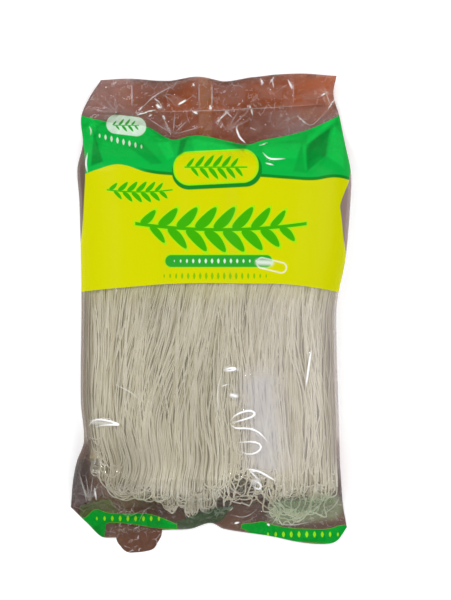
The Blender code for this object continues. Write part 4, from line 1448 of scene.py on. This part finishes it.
def hank_tree():
    """The Geometry Nodes group that makes one hank from its named inputs."""
    group, given, made = new_group("hank of noodles", "GeometryNodeTree", HANK_INPUTS, HANK_INPUTS[:1])
    index = add(group, "GeometryNodeInputIndex").outputs[0]
    strand = calc(group, "FLOOR", ratio(group, index, given["Points"]))
    lock = calc(group, "FLOOR", ratio(group, strand, given["Lock"]))
    place = plus(group, strand, random_number(group, given, 0.0, 1.0, 1, strand))
    place = ratio(group, place, given["Noodles"])
    centre = times_plus(group, place, minus(group, given["Right"], given["Left"]), given["Left"])
    chance = random_number(group, given, 0.0, 1.0, 2, strand)
    spread = minus(group, given["Widest Turn"], given["Tightest Turn"])
    radius = times_plus(group, times(group, chance, chance), spread, given["Tightest Turn"])

    factor = add(group, "GeometryNodeSplineParameter").outputs["Factor"]
    tip = foot_of_noodle(group, given, centre, strand, lock)
    side, run, out, along = hairpin(group, given, tip, radius, strand, factor)
    lean = lean_of(group, given, place, along)
    wander = wander_of(group, given, centre, along, strand, lock, side, run)
    quick = times(group, factor, 16.0)
    wave = drift(group, given, times(group, strand, 4.1), quick, 41.3, 1.0)
    rise = drift(group, given, times(group, strand, 6.3), quick, 53.9, 1.0)
    wave, rise = times(group, wave, given["Ripple"]), times(group, rise, given["Ripple"])
    along = plus(group, along, rise)
    around = plus(group, centre, out, plus(group, lean, wave, wander))

    laid, depth = lay_on_guide(group, given, around, along, strand, lock)
    own_tone = times(group, random_number(group, given, 0.0, 1.0, 9, strand), 0.6)
    tone = times_plus(group, random_number(group, given, 0.0, 1.0, 8, lock), 0.4, own_tone)
    # Painted shade: the deeper a noodle lies, the darker the colour that its finish gives it
    sunk = ramp_linear(group, depth, 1.5 * MM, 8 * MM)
    noodles = round_noodles(group, given, laid, (("tone", tone), ("sunk", sunk)))
    group.links.new(noodles, made["Geometry"])
    return group


HANK = hank_tree()
print("the hank tree has", len(HANK.nodes), "nodes")

# %% [markdown]
# Dry rice noodles are cream, a little see-through, and satin rather than glossy. Each one has its own
# tone, which the tree stored on it, a faint streak along it, and a painted shade where it lies deep.

# %% Noodle finishes
NOODLE_DEEP_SHADE = srgb(156, 144, 110)
NOODLE_DARK = srgb(186, 176, 146)
NOODLE_LIGHT = srgb(224, 219, 201)
NOODLE_SHADE = 0.88
CORE_DARK = srgb(164, 148, 112)
CORE_LIGHT = srgb(200, 186, 150)


def rice_noodle():
    """Cream noodles, each with its own tone, and a painted shade where they lie deep."""
    material, tree = new_material("rice_noodle")
    place = add(tree, "ShaderNodeTexCoord").outputs["Object"]
    tone, sunk = attribute(tree, "tone"), attribute(tree, "sunk")
    streak = noise_of(tree, stretched(tree, place, (420, 60, 420)), 1.0, 2.0)
    mixed = times_plus(tree, streak, 0.5, times(tree, tone, 0.7))
    colour = blend(tree, ramp(tree, mixed, 0.15, 0.95), NOODLE_DARK, NOODLE_LIGHT)
    colour = blend(tree, times(tree, sunk, 0.85), colour, NOODLE_DEEP_SHADE)
    broad = noise_of(tree, stretched(tree, place, (34, 9, 20)), 1.0, 2.0)
    colour = scaled(tree, colour, ramp(tree, broad, 0.35, 0.62, NOODLE_SHADE, 1.0))
    normal = add(tree, "ShaderNodeBump", {"Height": streak, "Strength": 0.3, "Distance": 0.0002}).outputs[0]
    shader = add(tree, "ShaderNodeBsdfPrincipled",
                 {"Base Color": colour, "Roughness": 0.42, "IOR": 1.45, "Normal": normal})
    add(tree, "ShaderNodeOutputMaterial", {"Surface": shader.outputs[0]})
    return material


def noodle_core():
    """The shaded noodles deep in the block, as streaks on one closed form."""
    material, tree = new_material("noodle_core")
    place = add(tree, "ShaderNodeTexCoord").outputs["Object"]
    streak = noise_of(tree, stretched(tree, place, (900, 26, 500)), 1.0, 2.0)
    colour = blend(tree, ramp(tree, streak, 0.35, 0.65), CORE_DARK, CORE_LIGHT)
    normal = add(tree, "ShaderNodeBump", {"Height": streak, "Strength": 0.8, "Distance": 0.001}).outputs[0]
    shader = add(tree, "ShaderNodeBsdfPrincipled",
                 {"Base Color": colour, "Roughness": 0.6, "Normal": normal})
    add(tree, "ShaderNodeOutputMaterial", {"Surface": shader.outputs[0]})
    return material


NOODLE_FINISH = rice_noodle()
print("the noodle finish has", len(NOODLE_FINISH.node_tree.nodes), "nodes")

# %% [markdown]
# Between the noodles one sees deeper noodles, not the table. One closed form in a shaded colour, a few
# millimetres inside the film, stands for them.

# %% Core of the block
CORE_GAP = 7.8 * MM
CORE_FOOT_ROWS = 16
CORE_HEAD_ROWS = 4


def core_of_block(material):
    """The dark inside of the block, closed at both ends."""
    points = inside_of_bag(CORE_GAP)[0][CORE_FOOT_ROWS:-CORE_HEAD_ROWS, :-1]
    columns = points.shape[1]
    core = bmesh.new()
    grid = [[core.verts.new(p) for p in row] for row in points]
    for lower, upper in zip(grid, grid[1:]):
        for k in range(columns):
            after = (k + 1) % columns
            core.faces.new((lower[k], lower[after], upper[after], upper[k]))
    for ring in (grid[0], grid[-1]):
        hub = core.verts.new(sum((v.co for v in ring), Vector()) / columns)
        for k in range(columns):
            core.faces.new((ring[k], ring[(k + 1) % columns], hub))
    bmesh.ops.recalc_face_normals(core, faces=core.faces)
    mesh = bpy.data.meshes.new("noodle_core")
    core.to_mesh(mesh)
    core.free()
    mesh.shade_smooth()
    return link_piece("noodle_core", mesh, (material,))


ride_in_bag(core_of_block(noodle_core()))

# %% [markdown]
# The block is three hanks side by side. The left one leans, so that its noodles fan out towards the
# head, and the middle one overlaps it. A few loose noodles with wide turns lie on top at the foot, and
# one more layer goes round the sides and the back.

# %% Lay the hanks
# Sizes of each hank, with its lengths in millimetres, where they differ from the usual ones
HANKS = {
    "noodles_left": {"Noodles": 235, "Left": -84, "Right": -30, "Lean Right": 30, "Widest Turn": 9,
                     "Seed": 11},
    "noodles_middle": {"Noodles": 215, "Left": -34, "Right": 22, "Lean Left": 26, "Lean Right": 2,
                       "Widest Turn": 6, "Seed": 23},
    "noodles_right": {"Noodles": 235, "Left": 22, "Right": 87, "Lean Left": -3, "Widest Turn": 8,
                      "Wander": 0.6, "Noodle Radius": 0.55, "Seed": 37},
    "noodles_back": {"Noodles": 300, "Left": 84, "Right": GUIDE_ROUND / MM - 80, "Widest Turn": 6,
                     "Deep": 3.5, "Wander": 0.5, "Points": 60, "Seed": 41},
    "noodles_stray": {"Noodles": 60, "Left": -70, "Right": 80, "Widest Turn": 7, "Shallow": 0,
                      "Deep": 0.6, "Wander": 1.8, "Lock": 2, "Lean Left": 14, "Lean Right": -6, "Seed": 67},
    "noodles_loose": {"Noodles": 15, "Left": 8, "Right": 60, "Foot Drop": 18, "Foot Scatter": 14,
                      "Tightest Turn": 3, "Widest Turn": 14, "Shallow": 0, "Deep": 1.2, "Wander": 2.0,
                      "Ripple": 26, "Lock": 1, "Seed": 53},
    "noodles_curl": {"Noodles": 16, "Left": -66, "Right": -56, "Foot Drop": 3, "Foot Scatter": 5,
                     "Tightest Turn": 9, "Widest Turn": 21, "Shallow": 0, "Deep": 2, "Wander": 0.6,
                     "Lock": 1, "Seed": 89},
    "noodles_garland": {"Noodles": 7, "Left": 58, "Right": 68, "Foot Drop": 12, "Foot Scatter": 6,
                        "Tightest Turn": 13, "Widest Turn": 27, "Shallow": 0, "Deep": 0.6, "Wander": 1.0,
                        "Ripple": 18, "Lock": 1, "Seed": 71},
}
USUAL = {"Guide": guide, "Head": 111, "Foot Drop": 0, "Foot Scatter": 12, "Lean Left": 0, "Lean Right": 0,
         "Wander": 1.0, "Ripple": 2, "Shallow": 0.2, "Deep": 5.4, "Tightest Turn": 0.9, "Widest Turn": 5,
         "Noodle Radius": 0.6, "Points": 100, "Lock": 6, "Finish": NOODLE_FINISH}


def lay_hank(name, sizes):
    """Run the tree with these sizes and keep the result as a plain mesh."""
    holder = link_piece(name, bpy.data.meshes.new(name))
    live = holder.modifiers.new("hank", "NODES")
    live.node_group = HANK
    sockets = {item.name: item.identifier for item in HANK.interface.items_tree if item.in_out == "INPUT"}
    for label, value in {**USUAL, **sizes}.items():
        live[sockets[label]] = value * MM if label in HANK_LENGTHS else value
    bpy.context.view_layer.update()
    plain = bpy.data.meshes.new_from_object(holder.evaluated_get(bpy.context.evaluated_depsgraph_get()))
    holder.modifiers.clear()
    holder.data = plain
    plain.name = name
    return ride_in_bag(holder)


for name, sizes in HANKS.items():
    lay_hank(name, sizes)
bpy.data.objects.remove(guide)

# %% [markdown]
# A pale table, a pale sky and a few lamps. The soft ones light the noodles from both sides, and small
# bright ones are there only to be mirrored in the film: shiny things are seen by what they reflect.

# %% Table and light
FLOOR_SIZE = 3.0


def build_floor():
    """A pale table top just under the bag."""
    mesh = bpy.data.meshes.new("floor")
    floor = bmesh.new()
    bmesh.ops.create_grid(floor, x_segments=1, y_segments=1, size=FLOOR_SIZE)
    bmesh.ops.translate(floor, verts=floor.verts, vec=(0, 0, -0.2 * MM))
    floor.to_mesh(mesh)
    floor.free()
    material, tree = new_material("pale_table")
    shader = add(tree, "ShaderNodeBsdfPrincipled", {
        "Base Color": (0.93, 0.93, 0.93, 1), "Roughness": 0.9, "Emission Color": (1, 1, 1, 1),
        "Emission Strength": 0.25})
    add(tree, "ShaderNodeOutputMaterial", {"Surface": shader.outputs[0]})
    return link_piece("floor", mesh, (material,))


def lamp(name, place, target, size, power, colour=(1, 1, 1)):
    """An area lamp that points at a target."""
    light = bpy.data.lights.new(name, "AREA")
    light.shape = "RECTANGLE"
    light.size, light.size_y = size
    light.energy = power
    light.color = colour
    holder = bpy.data.objects.new(name, light)
    holder.location = place
    holder.rotation_euler = (Vector(target) - Vector(place)).to_track_quat("-Z", "Y").to_euler()
    bpy.context.scene.collection.objects.link(holder)
    return holder


build_floor()
world = bpy.data.worlds.new("pale_sky")
world.use_nodes = True
world.node_tree.nodes["Background"].inputs[0].default_value = (0.95, 0.97, 1.0, 1)
world.node_tree.nodes["Background"].inputs[1].default_value = 0.34
bpy.context.scene.world = world
lamp("soft_key", (-1.5, 1.0, 1.5), (0, 0, 0), (1.0, 1.0), 27)
lamp("soft_fill", (1.7, 0.5, 1.5), (0, 0, 0), (1.2, 1.2), 17)
lamp("soft_foot", (0.2, -1.8, 1.5), (0, 0, 0), (1.2, 1.2), 14)
GLINTS = 7
GLINT_HEIGHT = 1.5
for k in range(GLINTS):
    angle = 2 * math.pi * (k + 0.3) / GLINTS
    away = GLINT_HEIGHT * math.tan(math.radians(24 + 9 * (k % 2)))
    place = (away * math.cos(angle), away * math.sin(angle), GLINT_HEIGHT)
    lamp(f"glint_{k}", place, (0, 0, 0), (0.05, 0.05), 0.9)
bpy.context.scene.view_settings.view_transform = "Standard"
